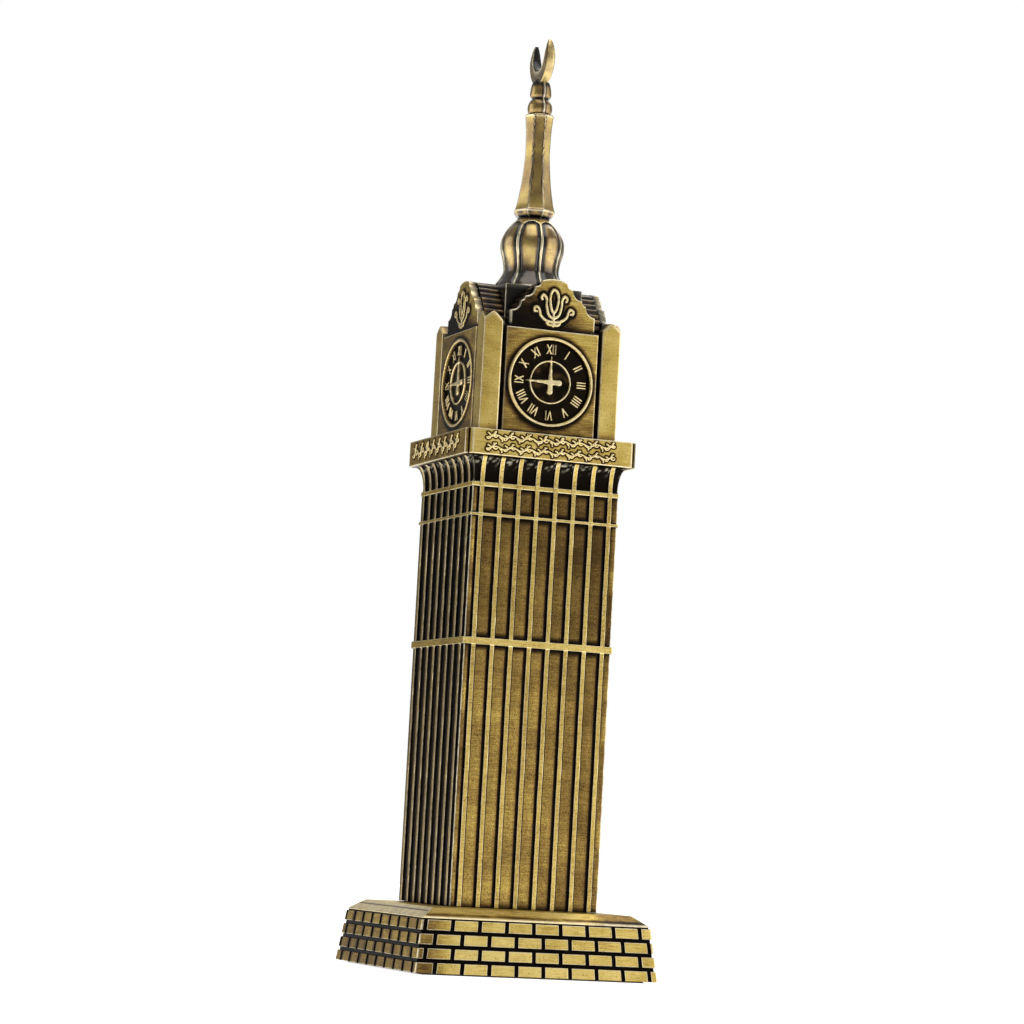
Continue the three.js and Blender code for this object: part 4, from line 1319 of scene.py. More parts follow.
        # dark halo round the ring: patina in the corner, widened toward the lower left as painted shadow
        halo_width = 0.55 + 0.35 * np.clip(np.cos(turned - 3.9), 0, 1)
        halo = bell(np.clip(radius - self.ring_outer, 0, None), 0.0, halo_width)
        tone = self.tones[face.value] + 0.07 * mottled(across * 0.25, height, 2.2, 160 + face.value)
        tone = tone - 0.12 * smooth_step(-3.0, -9.5, up) - 0.1 * smooth_step(-3.0, -9.0, across)
        plate = tone - 0.62 * halo * (radius > self.ring_outer - 0.1)
        plate = plate - 0.5 * smooth_step(0.9, 0.0, height - self.foot)
        ring_rub = 0.3 + 0.55 * smooth_step(0.0, 0.2, ring)
        detail = np.maximum(np.maximum(inner, hands), numeral + 0.02)
        floor_rub = floor + (0.88 - floor) * smooth_step(-0.02, 0.12, detail)
        rub = np.where(radius < ring_inner, floor_rub, np.where(ring > 0, ring_rub, plate))
        # bright lines along the plate's edges, the ring and the dial's details: wear, and painted highlight
        edge = bell(inside, 0.1, 0.09) * np.where(height > self.top - 0.5, 0.9, 0.35)
        edge = np.maximum(edge, 0.55 * smooth_step(0.12, 0.3, ring))
        edge = np.maximum(edge, 0.5 * smooth_step(0.03, 0.16, detail) * (radius < ring_inner))
        back = self.half - self.plate_thickness
        corners = np.array([
            (-half, -back, self.foot), (half, -back, self.foot),
            (half, -back, self.top), (-half, -back, self.top),
        ])
        sheet = Sheet(points, rub, edge).turned(face)
        piece = closed_panel(f"dial_{face.label}", sheet, quarter_turned(corners, face))
        install(piece, material, Slot.DIAL, f"dial_plate_{face.label}")

    def post(self, face: Face, material: bpy.types.Material) -> None:
        """Builds the angle post at a side's left corner.

        It is two sheets that follow the corner, ruled from the foot to the pointed top.

        Args:
            face: Which side.
            material: Its finish.
        """
        width, half = self.post_width, self.half
        s = stations(-width, width, 0.22, [t * (width - o) for t in (-1, 1) for o in (0.04, 0.1, 0.2)]
                     + [t * o for t in (-1, 1) for o in (0.05, 0.12, 0.25)] + [0.0, -width / 2, width / 2])
        leg = np.abs(s)
        notch = self.foot + self.post_height
        peak = width / 2
        rise = notch + self.post_peak * leg / peak
        fall = notch + self.post_peak - (self.post_peak + self.post_shoulder) * (leg - peak) / (width - peak)
        top = np.where(leg < peak, rise, fall)
        top = top - 0.2 * bell(leg, peak, 0.34)
        share = stations(0.0, 1.0, 0.03, [1 - o / self.post_height for o in (0.05, 0.1, 0.2)])
        z = self.foot + share[:, None] * (top - self.foot)
        across = np.broadcast_to(s, z.shape)
        inside = np.minimum(width - np.abs(across), (top - z) * 0.8)
        shrink = 0.1 * (1 - raised(inside, 0.2))
        crest = 0.07 * (1 - raised(np.abs(across), 0.2))
        low_side = across < 0
        x = np.where(low_side, -half + shrink + crest, -half + across + crest)
        y = np.where(low_side, -half - across + crest, -half + shrink + crest)
        points = np.stack([x, y, z], axis=-1)
        depth = self.plate_thickness
        leg_in = depth + (width - depth) * np.abs(across) / width
        x_in = np.where(low_side, -half + depth, -half + leg_in)
        y_in = np.where(low_side, -half + leg_in, -half + depth)
        inner = np.stack([x_in, y_in, z], axis=-1)
        tone = self.post_tone + 0.07 * mottled(across, z, 7.0, 170 + face.value)
        dark_foot = 0.25 * smooth_step(1.6, 0.2, z - self.foot)
        rub = tone - dark_foot - 0.3 * smooth_step(0.12, 0.0, width - np.abs(across))
        # bright along the outline and the corner's crest: wear, and painted highlight
        edge = bell(inside, 0.12, 0.1) * 0.6 + bell(np.abs(across), 0.0, 0.16) * 0.7
        sheet = Sheet(points, rub, np.clip(edge, 0, 1)).turned(face)
        piece = slab(f"angle_post_{face.label}", sheet, quarter_turned(inner, face))
        install(piece, material, Slot.BRIGHT, f"corner_post_{face.label}")


# ---------------------------------------------------------------- roof


@dataclass
class Roof:
    """Scalloped gables with a palmette, ridged dormers behind them and a square block in the middle."""

    shoulder: float = 3.16
    crown: float = 0.7
    # inwards and upwards to the end of each scallop
    scallops: tuple[tuple[float, float], ...] = (
        (2.0, 2.05), (0.8, 0.9), (1.95, 2.0), (1.15, 0.95),
    )
    line: float = 0.23
    line_height: float = 0.3
    step: float = 0.11
    corner_round: float = 0.2
    ridge_pitch: float = 1.45
    ridge_height: float = 0.45
    # the lily's side petals, from its foot outwards: distance from the middle, height over the gable's foot
    petals: tuple[tuple[tuple[float, float], ...], ...] = (
        ((0.0, 2.1), (1.0, 2.85), (1.5, 4.5), (1.6, 5.9), (2.15, 6.6), (2.6, 6.2), (2.45, 5.7)),
        (
            (0.0, 1.5), (1.5, 1.75), (2.6, 2.6), (2.95, 3.7), (3.45, 4.2), (3.95, 3.9), (3.85, 3.35),
            (3.45, 3.3),
        ),
        ((0.0, 1.0), (0.85, 0.95), (1.3, 1.3)),
    )
    flat_points: int = 17
    # read from the frame
    full_half: float = field(init=False)

    def build(self) -> None:
        """Builds and dresses the gables, the dormers and the block."""
        gable = AntiqueBronze("gable_antique", streaks=0.32, blotches=0.24, pits=0.3, coat=0.2).material()
        dark = AntiqueBronze("roof_antique", streaks=0.16, blotches=0.2, coat=1.0, glance=0.8).material()
        for face in Face:
            self.gable(face, gable)
            self.dormer(face, dark)
        self.block(dark)

    def outline(self, x: Array, half: float, foot: float, drop: float) -> Array:
        """Height of the scalloped edge at a distance from the middle.

        Each scallop is a hollow quarter ellipse over its run, flat at its outer end and upright at its inner
        end. The crown between the last two scallops is a quarter ellipse.

        Args:
            x: Distance from the middle.
            half: Half-width at the foot.
            foot: Height of the foot.
            drop: How far the whole edge is lowered.

        Returns:
            The edge's height.
        """
        full = self.full_half
        away = np.abs(x) * full / half
        at, level = full, foot + self.shoulder
        top = np.full(away.shape, level)
        for run, rise in self.scallops:
            share = np.clip((at - away) / run, 0.0, 1.0)
            top = np.where(away <= at, level + rise * (1 - np.sqrt(1 - share**2)), top)
            at, level = at - run, level + rise
        share = np.clip(away / at, 0.0, 1.0)
        return np.where(away <= at, level + self.crown * np.sqrt(1 - share**2) ** 1.2, top) - drop

    def palmette(self, x: Array, up: Array) -> Array:
        """Distance to a lily's lines.

        It has a round middle petal, two pairs of petals that curl out, and a knotted foot.

        Args:
            x: Distance from the middle.
            up: Height over the gable's foot.

        Returns:
            The distance from each point to the nearest line.
        """
        around = np.linspace(0, 2 * np.pi, 25)
        petal = np.column_stack([
            0.82 * np.sin(around) * (1 - 0.25 * np.cos(around)), 5.5 - 2.2 * np.cos(around)
        ])
        gap = from_path(x, up, petal)
        gap = np.minimum(gap, from_path(x, up, np.array([(0.0, 0.75), (0.0, 3.3)])))
        for side in (-1, 1):
            for curve in self.petals:
                path = through(curve, 6) * np.array([side, 1.0])
                gap = np.minimum(gap, from_path(x, up, path))
        return gap

    def gable(self, face: Face, material: bpy.types.Material) -> None:
        """Builds one gable: a sheet ruled from its foot to the scalloped edge, with a raised palmette.

        Args:
            face: Which side.
            material: Its finish.
        """
        low, high = box_mm("gable_front")
        half, foot = high[0], low[2]
        self.full_half = half
        front, back = -low[1], -high[1]
        marks = np.cumsum([half] + [-run for run, _ in self.scallops])
        breaks = [s * (m + o) for m in marks for s in (-1, 1) for o in (-0.05, 0.0, 0.05)]
        x = stations(-half, half, self.step, [b for b in breaks if abs(b) < half] + [-half + 0.1, half - 0.1])
        top = self.outline(x, half, foot, 0.0)
        share = stations(0.0, 1.0, 0.0125, [0.97, 0.985])
        z = foot + share[:, None] * (top - foot)
        across = np.broadcast_to(x, z.shape)
        gap = self.palmette(across, z - foot)
        line = self.line
        edge_gap = np.minimum((top - z) * 0.75, half - np.abs(across))
        relief = self.line_height * smooth_step(line + 0.13, line - 0.06, gap)
        out = front + relief - 0.1 * (1 - raised(edge_gap, 0.16))
        out = np.minimum(out, front + 0.28)
        points = np.stack([across, -out, z], axis=-1)
        inner = np.stack([across, np.full(z.shape, -back), z], axis=-1)
        share_up = (z - foot) / (self.top_of(half, foot) - foot)
        # darker toward the lower left and brighter toward the upper right: painted light and shade
        slope = smooth_step(-0.35, 0.75, share_up * 1.1 + across / half * 0.55 - 0.2)
        tone = 0.06 + 0.74 * slope + 0.06 * mottled(across * 0.3, z, 2.0, 180 + face.value)
        shade = bell(gap, line + 0.25, 0.34) * 0.7
        rub = np.maximum(tone - shade, 0.03)
        rub = rub - (0.62 * smooth_step(1.1, 0.1, z - foot)) * rub
        rub = np.where(gap < line, 0.9, rub)
        # bright rim along the scalloped edge and round the lines: wear, and painted highlight
        edge = bell(edge_gap, 0.07, 0.1) * 0.95 * smooth_step(0.3, 1.2, z - foot)
        edge = np.maximum(edge, smooth_step(line, line - 0.12, gap) * 0.5)
        sheet = Sheet(points, rub, edge).turned(face)
        piece = slab(f"gable_plate_{face.label}", sheet, quarter_turned(inner, face))
        install(piece, material, Slot.DIAL, f"gable_{face.label}")

    def top_of(self, half: float, foot: float) -> float:
        """Height of the gable's crown."""
        return float(self.outline(np.zeros(1), half, foot, 0.0)[0])

    def dormer(self, face: Face, material: bpy.types.Material) -> None:
        """Builds one dormer: half-round ridges side by side over a smooth arch, carried back to the block.

        The arch is a smooth curve through the gable's scallops. A ridge's height over it is the sine of its
        share of the ridge, along the arch, and it is added square to the arch.

        Args:
            face: Which side.
            material: Its finish.
        """
        low, high = box_mm("dormer_roof_front")
        half, foot = high[0], low[2]
        front, back = -low[1], -high[1]
        top = high[2] - foot
        base = half - self.ridge_height
        crown = top - self.ridge_height
        knots = [
            (base, 0.0), (base, 0.3 * crown), (0.9 * base, 0.44 * crown), (0.74 * base, 0.62 * crown),
            (0.55 * base, 0.8 * crown), (0.36 * base, 0.94 * crown), (0.15 * base, crown), (0.0, crown),
        ]
        right = through(knots, 30)
        arch = np.vstack([right * np.array([-1.0, 1.0]), right[-2::-1]])
        length = np.concatenate([[0.0], np.cumsum(np.linalg.norm(np.diff(arch, axis=0), axis=1))])
        ridges = 2 * round(length[-1] / self.ridge_pitch / 2) + 1
        along = np.linspace(0.0, length[-1], ridges * 12 + 1)
        arch = np.column_stack([np.interp(along, length, arch[:, 0]), np.interp(along, length, arch[:, 1])])
        heading = np.gradient(arch, axis=0)
        heading /= np.linalg.norm(heading, axis=1, keepdims=True)
        ridge = np.abs(np.sin(np.pi * along / length[-1] * ridges)) ** 0.7
        outline = arch + np.column_stack([-heading[:, 1], heading[:, 0]]) * self.ridge_height * ridge[:, None]
        outline = np.clip(outline, (-half, 0.0), (half, top))
        y = stations(-front, -back, 0.45)[:, None]
        shape = (len(y), len(outline))
        points = np.stack([
            np.broadcast_to(outline[:, 0], shape), np.broadcast_to(y, shape),
            np.broadcast_to(foot + outline[:, 1], shape),
        ], axis=-1)
        crest = np.broadcast_to(ridge, points.shape[:2])
        rub = 0.03 + 0.4 * crest**2 + 0.1 * mottled(points[..., 1], points[..., 2], 2.5, 190 + face.value)
        rows, columns = rub.shape
        index = np.arange(rows * columns).reshape(rows, columns)
        caps = [index[0][::-1], index[-1], np.concatenate([index[:, 0], index[::-1, -1]])]
        turned = quarter_turned(points, face).reshape(-1, 3)
        quads = grid_quads(rows, columns)
        name = f"ridged_dormer_{face.label}"
        piece = mesh_object(name, turned, quads, caps, rub.ravel(), np.zeros(rub.size), 70.0)
        install(piece, material, Slot.DARK, f"dormer_roof_{face.label}")

    def block(self, material: bpy.types.Material) -> None:
        """Builds the middle block: a square with rounded upright edges, bright from wear and painted highlight.
        """
        low, high = box_mm("roof_block")
        half, r = high[0], self.corner_round
        rows = np.array([low[2], low[2] + 4.0, high[2] - 1.0, high[2] - 0.25, high[2] - 0.08, high[2]])
        inset = np.array([0.0, 0.0, 0.0, 0.0, 0.06, 0.25])
        sides = []
        shine = []
        for face in Face:
            flat = np.linspace(-1, 1, self.flat_points)
            turn = np.radians([22.5, 45.0, 67.5])
            inner = half - inset - r
            x = np.concatenate([flat * inner[:, None], inner[:, None] + r * np.sin(turn)], axis=1)
            level = np.repeat(-(inner + r)[:, None], self.flat_points, axis=1)
            y = np.concatenate([level, -inner[:, None] - r * np.cos(turn)], axis=1)
            z = np.broadcast_to(rows[:, None], x.shape)
            sides.append(quarter_turned(np.stack([x, y, z], axis=-1), face))
            shine.append(np.concatenate([np.zeros(len(flat)), np.ones(len(turn))]))
        points = np.concatenate(sides, axis=1)
        wear_and_light = np.broadcast_to(np.concatenate(shine), points.shape[:2])
        # the rounded corners and the top edge are brighter: wear, and painted highlight
        rub = 0.12 + 0.08 * mottled(points[..., 0] + points[..., 1], points[..., 2], 4.0, 200) + 0.15 * wear_and_light
        top_edge = bell(np.broadcast_to(rows[:, None], wear_and_light.shape), high[2] - 0.1, 0.12)
        edge = np.clip(0.5 * wear_and_light + 0.3 * top_edge, 0, 1)
        install(lathe("roof_drum", Sheet(points, rub, edge), 40.0), material, Slot.DARK, "roof_block")


# ---------------------------------------------------------------- dome


@dataclass
class Dome:
    """Eight convex lobes between thin ribs that meet in a ring, on a flared foot."""

    lobes: int = 8
    turn: float = -3.0
    rib_half: float = 0.24
    groove: float = 0.42
    per_lobe: int = 30
    rib_proud: float = 0.12
    lobe_round: float = 1.6
    # share of the height at the top of a lobe's arch, and how much lower the arch ends
    arch_top: float = 0.93
    arch_rise: float = 0.1
    # share of the height, radius
    profile: tuple[tuple[float, float], ...] = (
        (0.0, 7.3), (0.06, 6.9), (0.14, 6.1), (0.25, 5.42), (0.4, 5.62), (0.55, 6.16), (0.68, 6.12),
        (0.8, 5.35), (0.9, 4.3), (0.96, 3.5), (1.0, 3.0),
    )

    def build(self) -> None:
        """Builds and dresses the dome.

        The radius is a smooth curve of height, less a valley beside each rib and plus the rib. Each lobe ends
        in an arch, above which the ring stands at the ribs' level.
        """
        low, high = box_mm("dome")
        curve = through(self.profile, 10)
        z = low[2] + (high[2] - low[2]) * curve[:, 0]
        radius = curve[:, 1]
        pitch = 2 * np.pi / self.lobes
        offsets = np.array([0.0, 0.04, 0.09])
        around = np.linspace(0, 1, self.per_lobe, endpoint=False)
        around = np.sort(np.unique(np.concatenate([around, offsets, 1 - offsets[1:]])))
        angle = (np.arange(self.lobes)[:, None] + around).ravel() * pitch
        angle = angle + math.radians(self.turn) - np.pi / 2
        share = np.tile(around, self.lobes)
        z, share = np.meshgrid(z, share, indexing="ij")
        radius = np.broadcast_to(radius[:, None], z.shape)
        arc = np.minimum(share, 1 - share) * pitch * radius
        across = np.abs(share - 0.5) * 2
        rise = (z - low[2]) / (high[2] - low[2])
        arch = self.arch_top - self.arch_rise * (1 - np.sqrt(np.clip(1 - across**2, 0, 1)))
        from_arch = (arch - rise) * (high[2] - low[2])
        inside_rib = np.maximum(self.rib_half - arc, -from_arch)
        away = -inside_rib
        bulge = np.sqrt(np.clip(1 - (1 - np.clip(away / self.lobe_round, 0, 1)) ** 2, 0, 1))
        lobe = -self.groove * (1 - bulge)
        rib = self.rib_proud * raised(inside_rib, 0.14)
        level = np.where(inside_rib > 0, rib, lobe)
        out = radius + level
        x = out * np.cos(angle)
        y = out * np.sin(angle)
        centre = smooth_step(0.35, 0.95, away)
        # darker in the waist: patina, and a painted dark reflection in its hollow
        waist = smooth_step(0.36, 0.2, rise)
        rub = 0.02 + 0.64 * centre * (1 - 0.55 * waist)
        rub += 0.05 * mottled(share * 8, z, 4.0, 210) * centre
        rub = np.where(inside_rib > 0.05, 0.74 - 0.25 * waist, rub)
        rub = np.where(rise > 0.965, 0.1, rub)
        # bright along the ribs and the foot: wear, and painted highlight
        edge = bell(inside_rib, 0.1, 0.09) * 0.8
        edge = np.maximum(edge, bell(rise, 0.005, 0.012) * 0.6)
        sheet = Sheet(np.stack([x, y, z], axis=-1), rub, edge)
        finish = AntiqueBronze(
            "dome_antique", streaks=0.12, blotches=0.2, pits=0.12, coat=1.0, coat_ior=1.6, gold_gloss=0.27,
            glance=1.0,
        )
        install(lathe("lobed_dome", sheet), finish.material(), Slot.DOME, "dome")


# ---------------------------------------------------------------- spire and finial


@dataclass
class Spire:
    """Waisted eight-sided shaft on a chipped rim."""

    sides: int = 8
    turn: float = 6.0
    per_side: int = 10
    # height over the foot, distance from the axis to an edge
    profile: tuple[tuple[float, float], ...] = (
        (0.0, 3.2), (0.12, 3.5), (0.45, 3.84), (0.85, 4.1), (1.15, 4.24), (1.4, 4.2), (1.75, 4.06),
        (3.1, 3.7), (6.9, 3.06), (11.6, 2.6), (13.5, 2.56), (16.6, 2.63), (19.2, 2.83), (20.05, 2.96),
        (20.3, 2.88),
    )

    def build(self) -> None:
        """Builds and dresses the shaft.

        A point's distance from the axis is the profile's, times the eight-sided outline at its angle, whose
        edges are a little rounded. The rim's underside is scalloped, and its lowest edge is chipped.
        """
        low, high = box_mm("spire_shaft")
        curve = through(self.profile, 6)
        scale = (high[2] - low[2]) / self.profile[-1][0]
        over = curve[:, 0]
        z, radius = low[2] + over * scale, curve[:, 1]
        pitch = 2 * np.pi / self.sides
        even = np.linspace(0, 1, self.per_side, endpoint=False)
        share = np.sort(np.unique(np.concatenate([even, [0.03, 0.97]])))
        angle = (np.arange(self.sides)[:, None] + share).ravel() * pitch + math.radians(self.turn) - np.pi / 2
        share = np.tile(share, self.sides)
        flat = math.cos(pitch / 2) / np.cos((share - 0.5) * pitch)
        outline = np.minimum(flat, 0.985)
        over_grid, shape = np.meshgrid(over, outline, indexing="ij")
        angles = np.broadcast_to(angle, over_grid.shape)
        shares = np.broadcast_to(share, over_grid.shape)
        radii = np.broadcast_to(radius[:, None], over_grid.shape)
        underside = smooth_step(1.2, 0.2, over_grid)
        nick = 0.14 * underside * (0.5 + 0.5 * np.sin(angles * 17 + 1.3)) * (0.6 + 0.4 * np.sin(angles * 5))
        out = radii * shape - nick
        x, y = out * np.cos(angles), out * np.sin(angles)
        z = np.broadcast_to(z[:, None], x.shape)
        near_edge = np.minimum(shares, 1 - shares)
        chips = smooth_step(0.0, 0.35, mottled(shares * 14, z, 0.8, 220)) * bell(near_edge, 0.05, 0.06)
        chips = chips * smooth_step(3.0, 7.0, over_grid) * (np.cos(angles + 1.9) > 0.8)
        rub = 0.68 + 0.06 * mottled(angles * 3, z, 6.0, 221) - 0.8 * chips
        rub -= 0.5 * smooth_step(0.5, 0.1, over_grid)
        rub -= 0.45 * bell(over_grid, 0.75, 0.22) * (0.5 + 0.5 * np.sin(angles * 11))
        # bright along the eight edges, the rim and the top: wear, and painted highlight
        edge = bell(near_edge, 0.0, 0.035) * 0.5 + bell(over_grid, 1.25, 0.25) * 0.5
        edge = np.clip(edge + bell(over_grid, 20.0, 0.2) * 0.6 - np.clip(chips, 0, 1), 0, 1)
        finish = AntiqueBronze(
            "spire_antique", streaks=0.08, blotches=0.16, pits=0.1, coat=0.8, coat_ior=1.6, gold_gloss=0.28,
            glance=0.85,
        )
        sheet = Sheet(np.stack([x, y, z], axis=-1), rub, edge)
        install(lathe("spire_casting", sheet, 30.0), finish.material(), Slot.BRIGHT, "spire_shaft")


@dataclass
class Finial:
    """Flattened ball, cup and open crescent, with the mould's flash line down the front."""

    flash: float = 0.13
    thickness: float = 2.1
    crescent_height: float = 8.2
    ball_height: float = 6.3
    # read from the frame
    top: float = field(init=False)
    crescent_foot: float = field(init=False)
    # height over the ball's foot, radius
    profile: tuple[tuple[float, float], ...] = (
        (-1.0, 1.2), (-0.05, 1.25), (0.0, 1.9), (0.25, 2.18), (0.8, 2.38), (1.4, 2.42), (2.1, 2.3),
        (2.7, 1.98),
        (3.0, 1.72), (3.16, 1.6), (3.3, 1.8), (3.7, 2.06), (4.2, 2.1), (5.0, 2.02), (5.8, 1.86), (6.5, 1.6),
        (7.1, 1.1), (7.4, 0.5),
    )
    # from the axis, height over the crescent's foot, half-width in its own plane
    horn: tuple[tuple[float, float, float], ...] = (
        (0.0, 1.1, 1.65), (1.7, 1.5, 1.5), (3.0, 2.7, 1.3), (3.7, 4.4, 1.05), (3.8, 6.1, 0.75),
        (3.7, 7.4, 0.42),
        (3.6, 8.06, 0.13),
    )

    def build(self) -> None:
        """Builds and dresses the turned foot and the crescent."""
        self.top = box_mm("crescent_finial")[1][2]
        self.crescent_foot = self.top - self.crescent_height
        material = AntiqueBronze(
            "finial_antique", streaks=0.06, blotches=0.24, pits=0.1, coat=0.7, coat_ior=1.6, glance=1.0
        ).material()
        install(self.ball(), material, Slot.BRIGHT, "crescent_finial")
        install(self.crescent(), material, Slot.BRIGHT, "crescent_finial")

    def ball(self) -> bpy.types.Object:
        """Ball and cup: a smooth profile turned about the axis, raised along the flash line.

        Returns:
            The object.
        """
        curve = through(self.profile, 5)
        foot = self.crescent_foot - self.ball_height
        angle = np.linspace(0, 2 * np.pi, 72, endpoint=False) - np.pi / 2
        over, angles = np.meshgrid(curve[:, 0], angle, indexing="ij")
        radius = np.broadcast_to(curve[:, 1][:, None], over.shape)
        off = np.abs((angles + np.pi / 2 + np.pi) % (2 * np.pi) - np.pi) * radius
        out = radius + self.flash * bell(off, 0.0, 0.16) * (over > 0)
        points = np.stack([out * np.cos(angles), out * np.sin(angles), foot + over], axis=-1)
        dark = bell(over, 3.16, 0.2) + bell(over, 0.0, 0.18) + smooth_step(5.2, 6.3, over)
        rub = 0.66 - 0.62 * np.clip(dark, 0, 1) + 0.06 * mottled(angles * 2, over, 3.0, 230)
        rub -= 0.5 * bell(off, 0.3, 0.14) * (radius > 1.3)
        # bright along the flash line: wear, and painted highlight
        edge = 0.7 * bell(off, 0.0, 0.12)
        return lathe("finial_ball", Sheet(points, rub, edge))

    def crescent(self) -> bpy.types.Object:
        """Crescent across the axis: a flat section with raised rims, carried along both horns' smooth line.

        Returns:
            The object.
        """
        half = through(self.horn, 9)
        other = half[:0:-1] * np.array([-1.0, 1.0, 1.0])
        line = np.vstack([other, half])
        along = np.gradient(line[:, :2], axis=0)
        along /= np.linalg.norm(along, axis=1, keepdims=True)
        normal = np.column_stack([along[:, 1], -along[:, 0]])
        turn = np.linspace(0, 2 * np.pi, 80, endpoint=False)
        side, face = np.cos(turn), np.sin(turn)
        in_plane = np.sign(side) * np.abs(side) ** 0.8
        thick = np.sign(face) * np.abs(face) ** 0.45
        recess = 1 - 0.12 * smooth_step(0.72, 0.45, np.abs(in_plane))
        width = line[:, 2][:, None]
        taper = np.clip(width / 1.0, 0.25, 1.0) ** 0.7
        y = line[:, 0][:, None] + normal[:, 0][:, None] * width * in_plane
        z = self.crescent_foot + line[:, 1][:, None] + normal[:, 1][:, None] * width * in_plane
        x = self.thickness / 2 * taper * thick * recess
        points = np.stack([x, y, np.minimum(z, self.top)], axis=-1)
        inner = np.broadcast_to(np.abs(in_plane), z.shape)
        flank = np.broadcast_to(np.abs(thick), z.shape)
        hollow = smooth_step(-0.35, -0.75, np.broadcast_to(in_plane, z.shape)) * smooth_step(0.93, 0.8, flank)
        rub = 0.74 - 0.7 * hollow - 0.2 * smooth_step(0.6, 0.2, inner) + 0.08 * mottled(y, z, 2.0, 240)
        from_back = np.broadcast_to(np.degrees(np.abs((turn + np.pi) % (2 * np.pi) - np.pi)), z.shape)
        rub -= 0.75 * bell(from_back, 50.0, 11.0)
        # pale bands on the front half and a faint one at the back: painted highlight, with wear
        edge = 0.15 * smooth_step(34.0, 22.0, from_back) + 0.7 * bell(flank, 0.9, 0.08) * (from_back > 90.0)
        return lathe("finial_crescent", Sheet(points[:, ::-1], rub[:, ::-1], edge[:, ::-1]), 60.0)


# ---------------------------------------------------------------- fastening and pad


@dataclass
class Fastening:
    """What holds the stack together, and the pad that it rests on; all keep the frame's own shapes."""

    steel: tuple[str, ...] = ("tie_rod", "rod_washer", "rod_nut")

    def build(self) -> None:
        """Dresses the kept nodes."""
        self.dress(ZincSteel().material(), self.steel)
        self.dress(RawCasting().material(), ("foot_plate",))
        self.dress(CellFoam().material(), ("base_pad",))

    def dress(self, material: bpy.types.Material, nodes: Sequence[str]) -> None:
        """Gives the nodes one finish and reports them."""
        for node in nodes:
            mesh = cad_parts[node].data
            mesh.materials.clear()
            mesh.materials.append(material)
            LOG.info("%s: kept, with %s", node, material.name)


# ---------------------------------------------------------------- studio


@dataclass
class Softbox:
    """One soft area light: bearing from the camera and height over the floor of its middle, and its size."""

    name: str
    bearing: float
    height: float
    distance: float
    width: float
    tall: float
    radiance: float


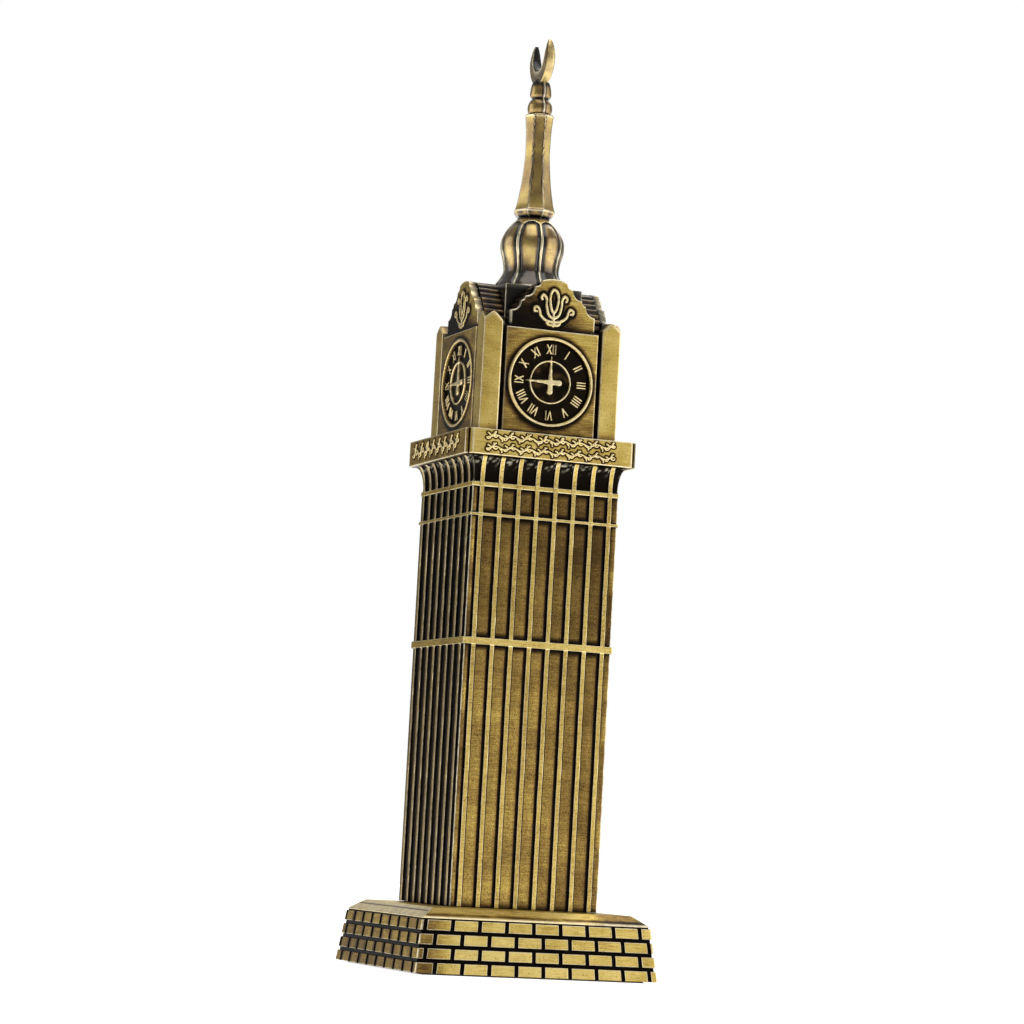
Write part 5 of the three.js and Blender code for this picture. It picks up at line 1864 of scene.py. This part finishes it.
@dataclass
class Studio:
    """Pale floor, white surround, soft lights and the camera. Lengths are in metres."""

    azimuth: float = -20.278
    elevation: float = -5.505
    distance: float = 0.651633
    lens: float = 119.1
    sensor: float = 36.0
    roll: float = 0.054726
    aim: tuple[float, float] = (-0.0011283, 0.087866)
    surround: float = 0.3
    floor_radius: float = 4.0
    floor_drop: float = 0.00002
    floor_sides: int = 64
    softboxes: tuple[Softbox, ...] = (
        Softbox("key_right", 75.0, 0.2, 0.6, 0.62, 0.62, 1.5),
        Softbox("fill_left", -92.0, 0.16, 0.6, 0.45, 0.62, 1.6),
        Softbox("back_card", 180.0, 0.3, 1.0, 0.7, 0.7, 0.9),
        Softbox("top", 165.0, 0.7, 0.5, 0.6, 0.6, 2.0),
        Softbox("overhead", 10.0, 0.9, 0.2, 0.7, 0.7, 1.9),
    )

    def build(self) -> None:
        """Makes the floor, the lights, the surround and the camera."""
        bpy.context.scene.view_settings.view_transform = "Standard"
        self.camera()
        self.floor()
        self.lights()
        self.sky()

    def bearing(self, degrees: float) -> Vector:
        """Level direction from the object, at an angle to the right of the camera's own as the camera sees it."""
        turn = math.radians(degrees + self.azimuth)
        return Vector((math.sin(turn), -math.cos(turn), 0.0))

    def camera(self) -> None:
        """Camera that looks at the aim point, turned about its own axis by the roll."""
        turn, tilt = math.radians(-self.azimuth), math.radians(self.elevation)
        back = Vector((-math.sin(turn) * math.cos(tilt), -math.cos(turn) * math.cos(tilt), math.sin(tilt)))
        right = Vector((math.cos(turn), -math.sin(turn), 0.0))
        up = back.cross(right)
        place = right * self.aim[0] + Vector((0.0, 0.0, self.aim[1])) + back * self.distance
        c, s = math.cos(self.roll), math.sin(self.roll)
        axes = (right * c + up * s, up * c - right * s, back)
        rotation = Matrix([(axes[0][i], axes[1][i], axes[2][i]) for i in range(3)])
        data = bpy.data.cameras.new("camera")
        data.lens = self.lens
        data.sensor_width = self.sensor
        data.clip_start = 0.01
        camera = bpy.data.objects.new("camera", data)
        camera.matrix_world = Matrix.Translation(place) @ rotation.to_4x4()
        bpy.context.scene.collection.objects.link(camera)
        bpy.context.scene.camera = camera

    def floor(self) -> None:
        """Round pale floor just under the object."""
        angle = np.linspace(0, 2 * np.pi, self.floor_sides, endpoint=False)
        x, y = self.floor_radius * np.cos(angle), self.floor_radius * np.sin(angle)
        rim = np.column_stack([x, y, 0 * angle])
        mesh = bpy.data.meshes.new("floor")
        mesh.from_pydata(rim.tolist(), [], [list(range(self.floor_sides))])
        floor = bpy.data.objects.new("floor", mesh)
        floor.location.z = -self.floor_drop
        recipe = Recipe("floor_paint")
        recipe.shader.inputs["Base Color"].default_value = (0.86, 0.86, 0.86, 1.0)
        recipe.shader.inputs["Roughness"].default_value = 1.0
        recipe.shader.inputs["Specular IOR Level"].default_value = 0.0
        recipe.shader.inputs["Emission Color"].default_value = (1.0, 1.0, 1.0, 1.0)
        recipe.shader.inputs["Emission Strength"].default_value = 0.8
        mesh.materials.append(recipe.material)
        bpy.context.scene.collection.objects.link(floor)

    def lights(self) -> None:
        """Area lights of set brightness: power is pi times radiance times area."""
        for box in self.softboxes:
            data = bpy.data.lights.new(box.name, "AREA")
            data.shape = "RECTANGLE"
            data.size, data.size_y = box.width, box.tall
            data.energy = math.pi * box.radiance * box.width * box.tall
            light = bpy.data.objects.new(box.name, data)
            toward = self.bearing(box.bearing)
            place = toward * box.distance + Vector((0.0, 0.0, box.height))
            aim = Vector((0.0, 0.0, self.aim[1])) - place
            light.matrix_world = Matrix.Translation(place) @ aim.to_track_quat("-Z", "Y").to_matrix().to_4x4()
            light.visible_camera = False
            bpy.context.scene.collection.objects.link(light)

    def sky(self) -> None:
        """Even surround: white to the camera, dim grey to everything else."""
        world = bpy.data.worlds.new("surround")
        bpy.context.scene.world = world
        world.use_nodes = True
        nodes, links = world.node_tree.nodes, world.node_tree.links
        dim = nodes["Background"]
        dim.inputs["Color"].default_value = (1.0, 1.0, 1.0, 1.0)
        dim.inputs["Strength"].default_value = self.surround
        white = nodes.new("ShaderNodeBackground")
        white.inputs["Strength"].default_value = 1.0
        white.inputs["Color"].default_value = (1.0, 1.0, 1.0, 1.0)
        seen = nodes.new("ShaderNodeLightPath")
        mix = nodes.new("ShaderNodeMixShader")
        links.new(seen.outputs["Is Camera Ray"], mix.inputs[0])
        links.new(dim.outputs[0], mix.inputs[1])
        links.new(white.outputs[0], mix.inputs[2])
        links.new(mix.outputs[0], nodes["World Output"].inputs["Surface"])


def main() -> None:
    """Builds every sub-assembly in order."""
    logging.basicConfig(level=logging.INFO, format="%(name)s: %(message)s")
    assemblies = (
        Plinth(), Shaft(), Collar(), ClockHead(), Roof(), Dome(), Spire(), Finial(), Fastening(), Studio(),
    )
    for assembly in assemblies:
        LOG.info("%s", type(assembly).__name__)
        assembly.build()


if __name__ == "__main__":
    main()
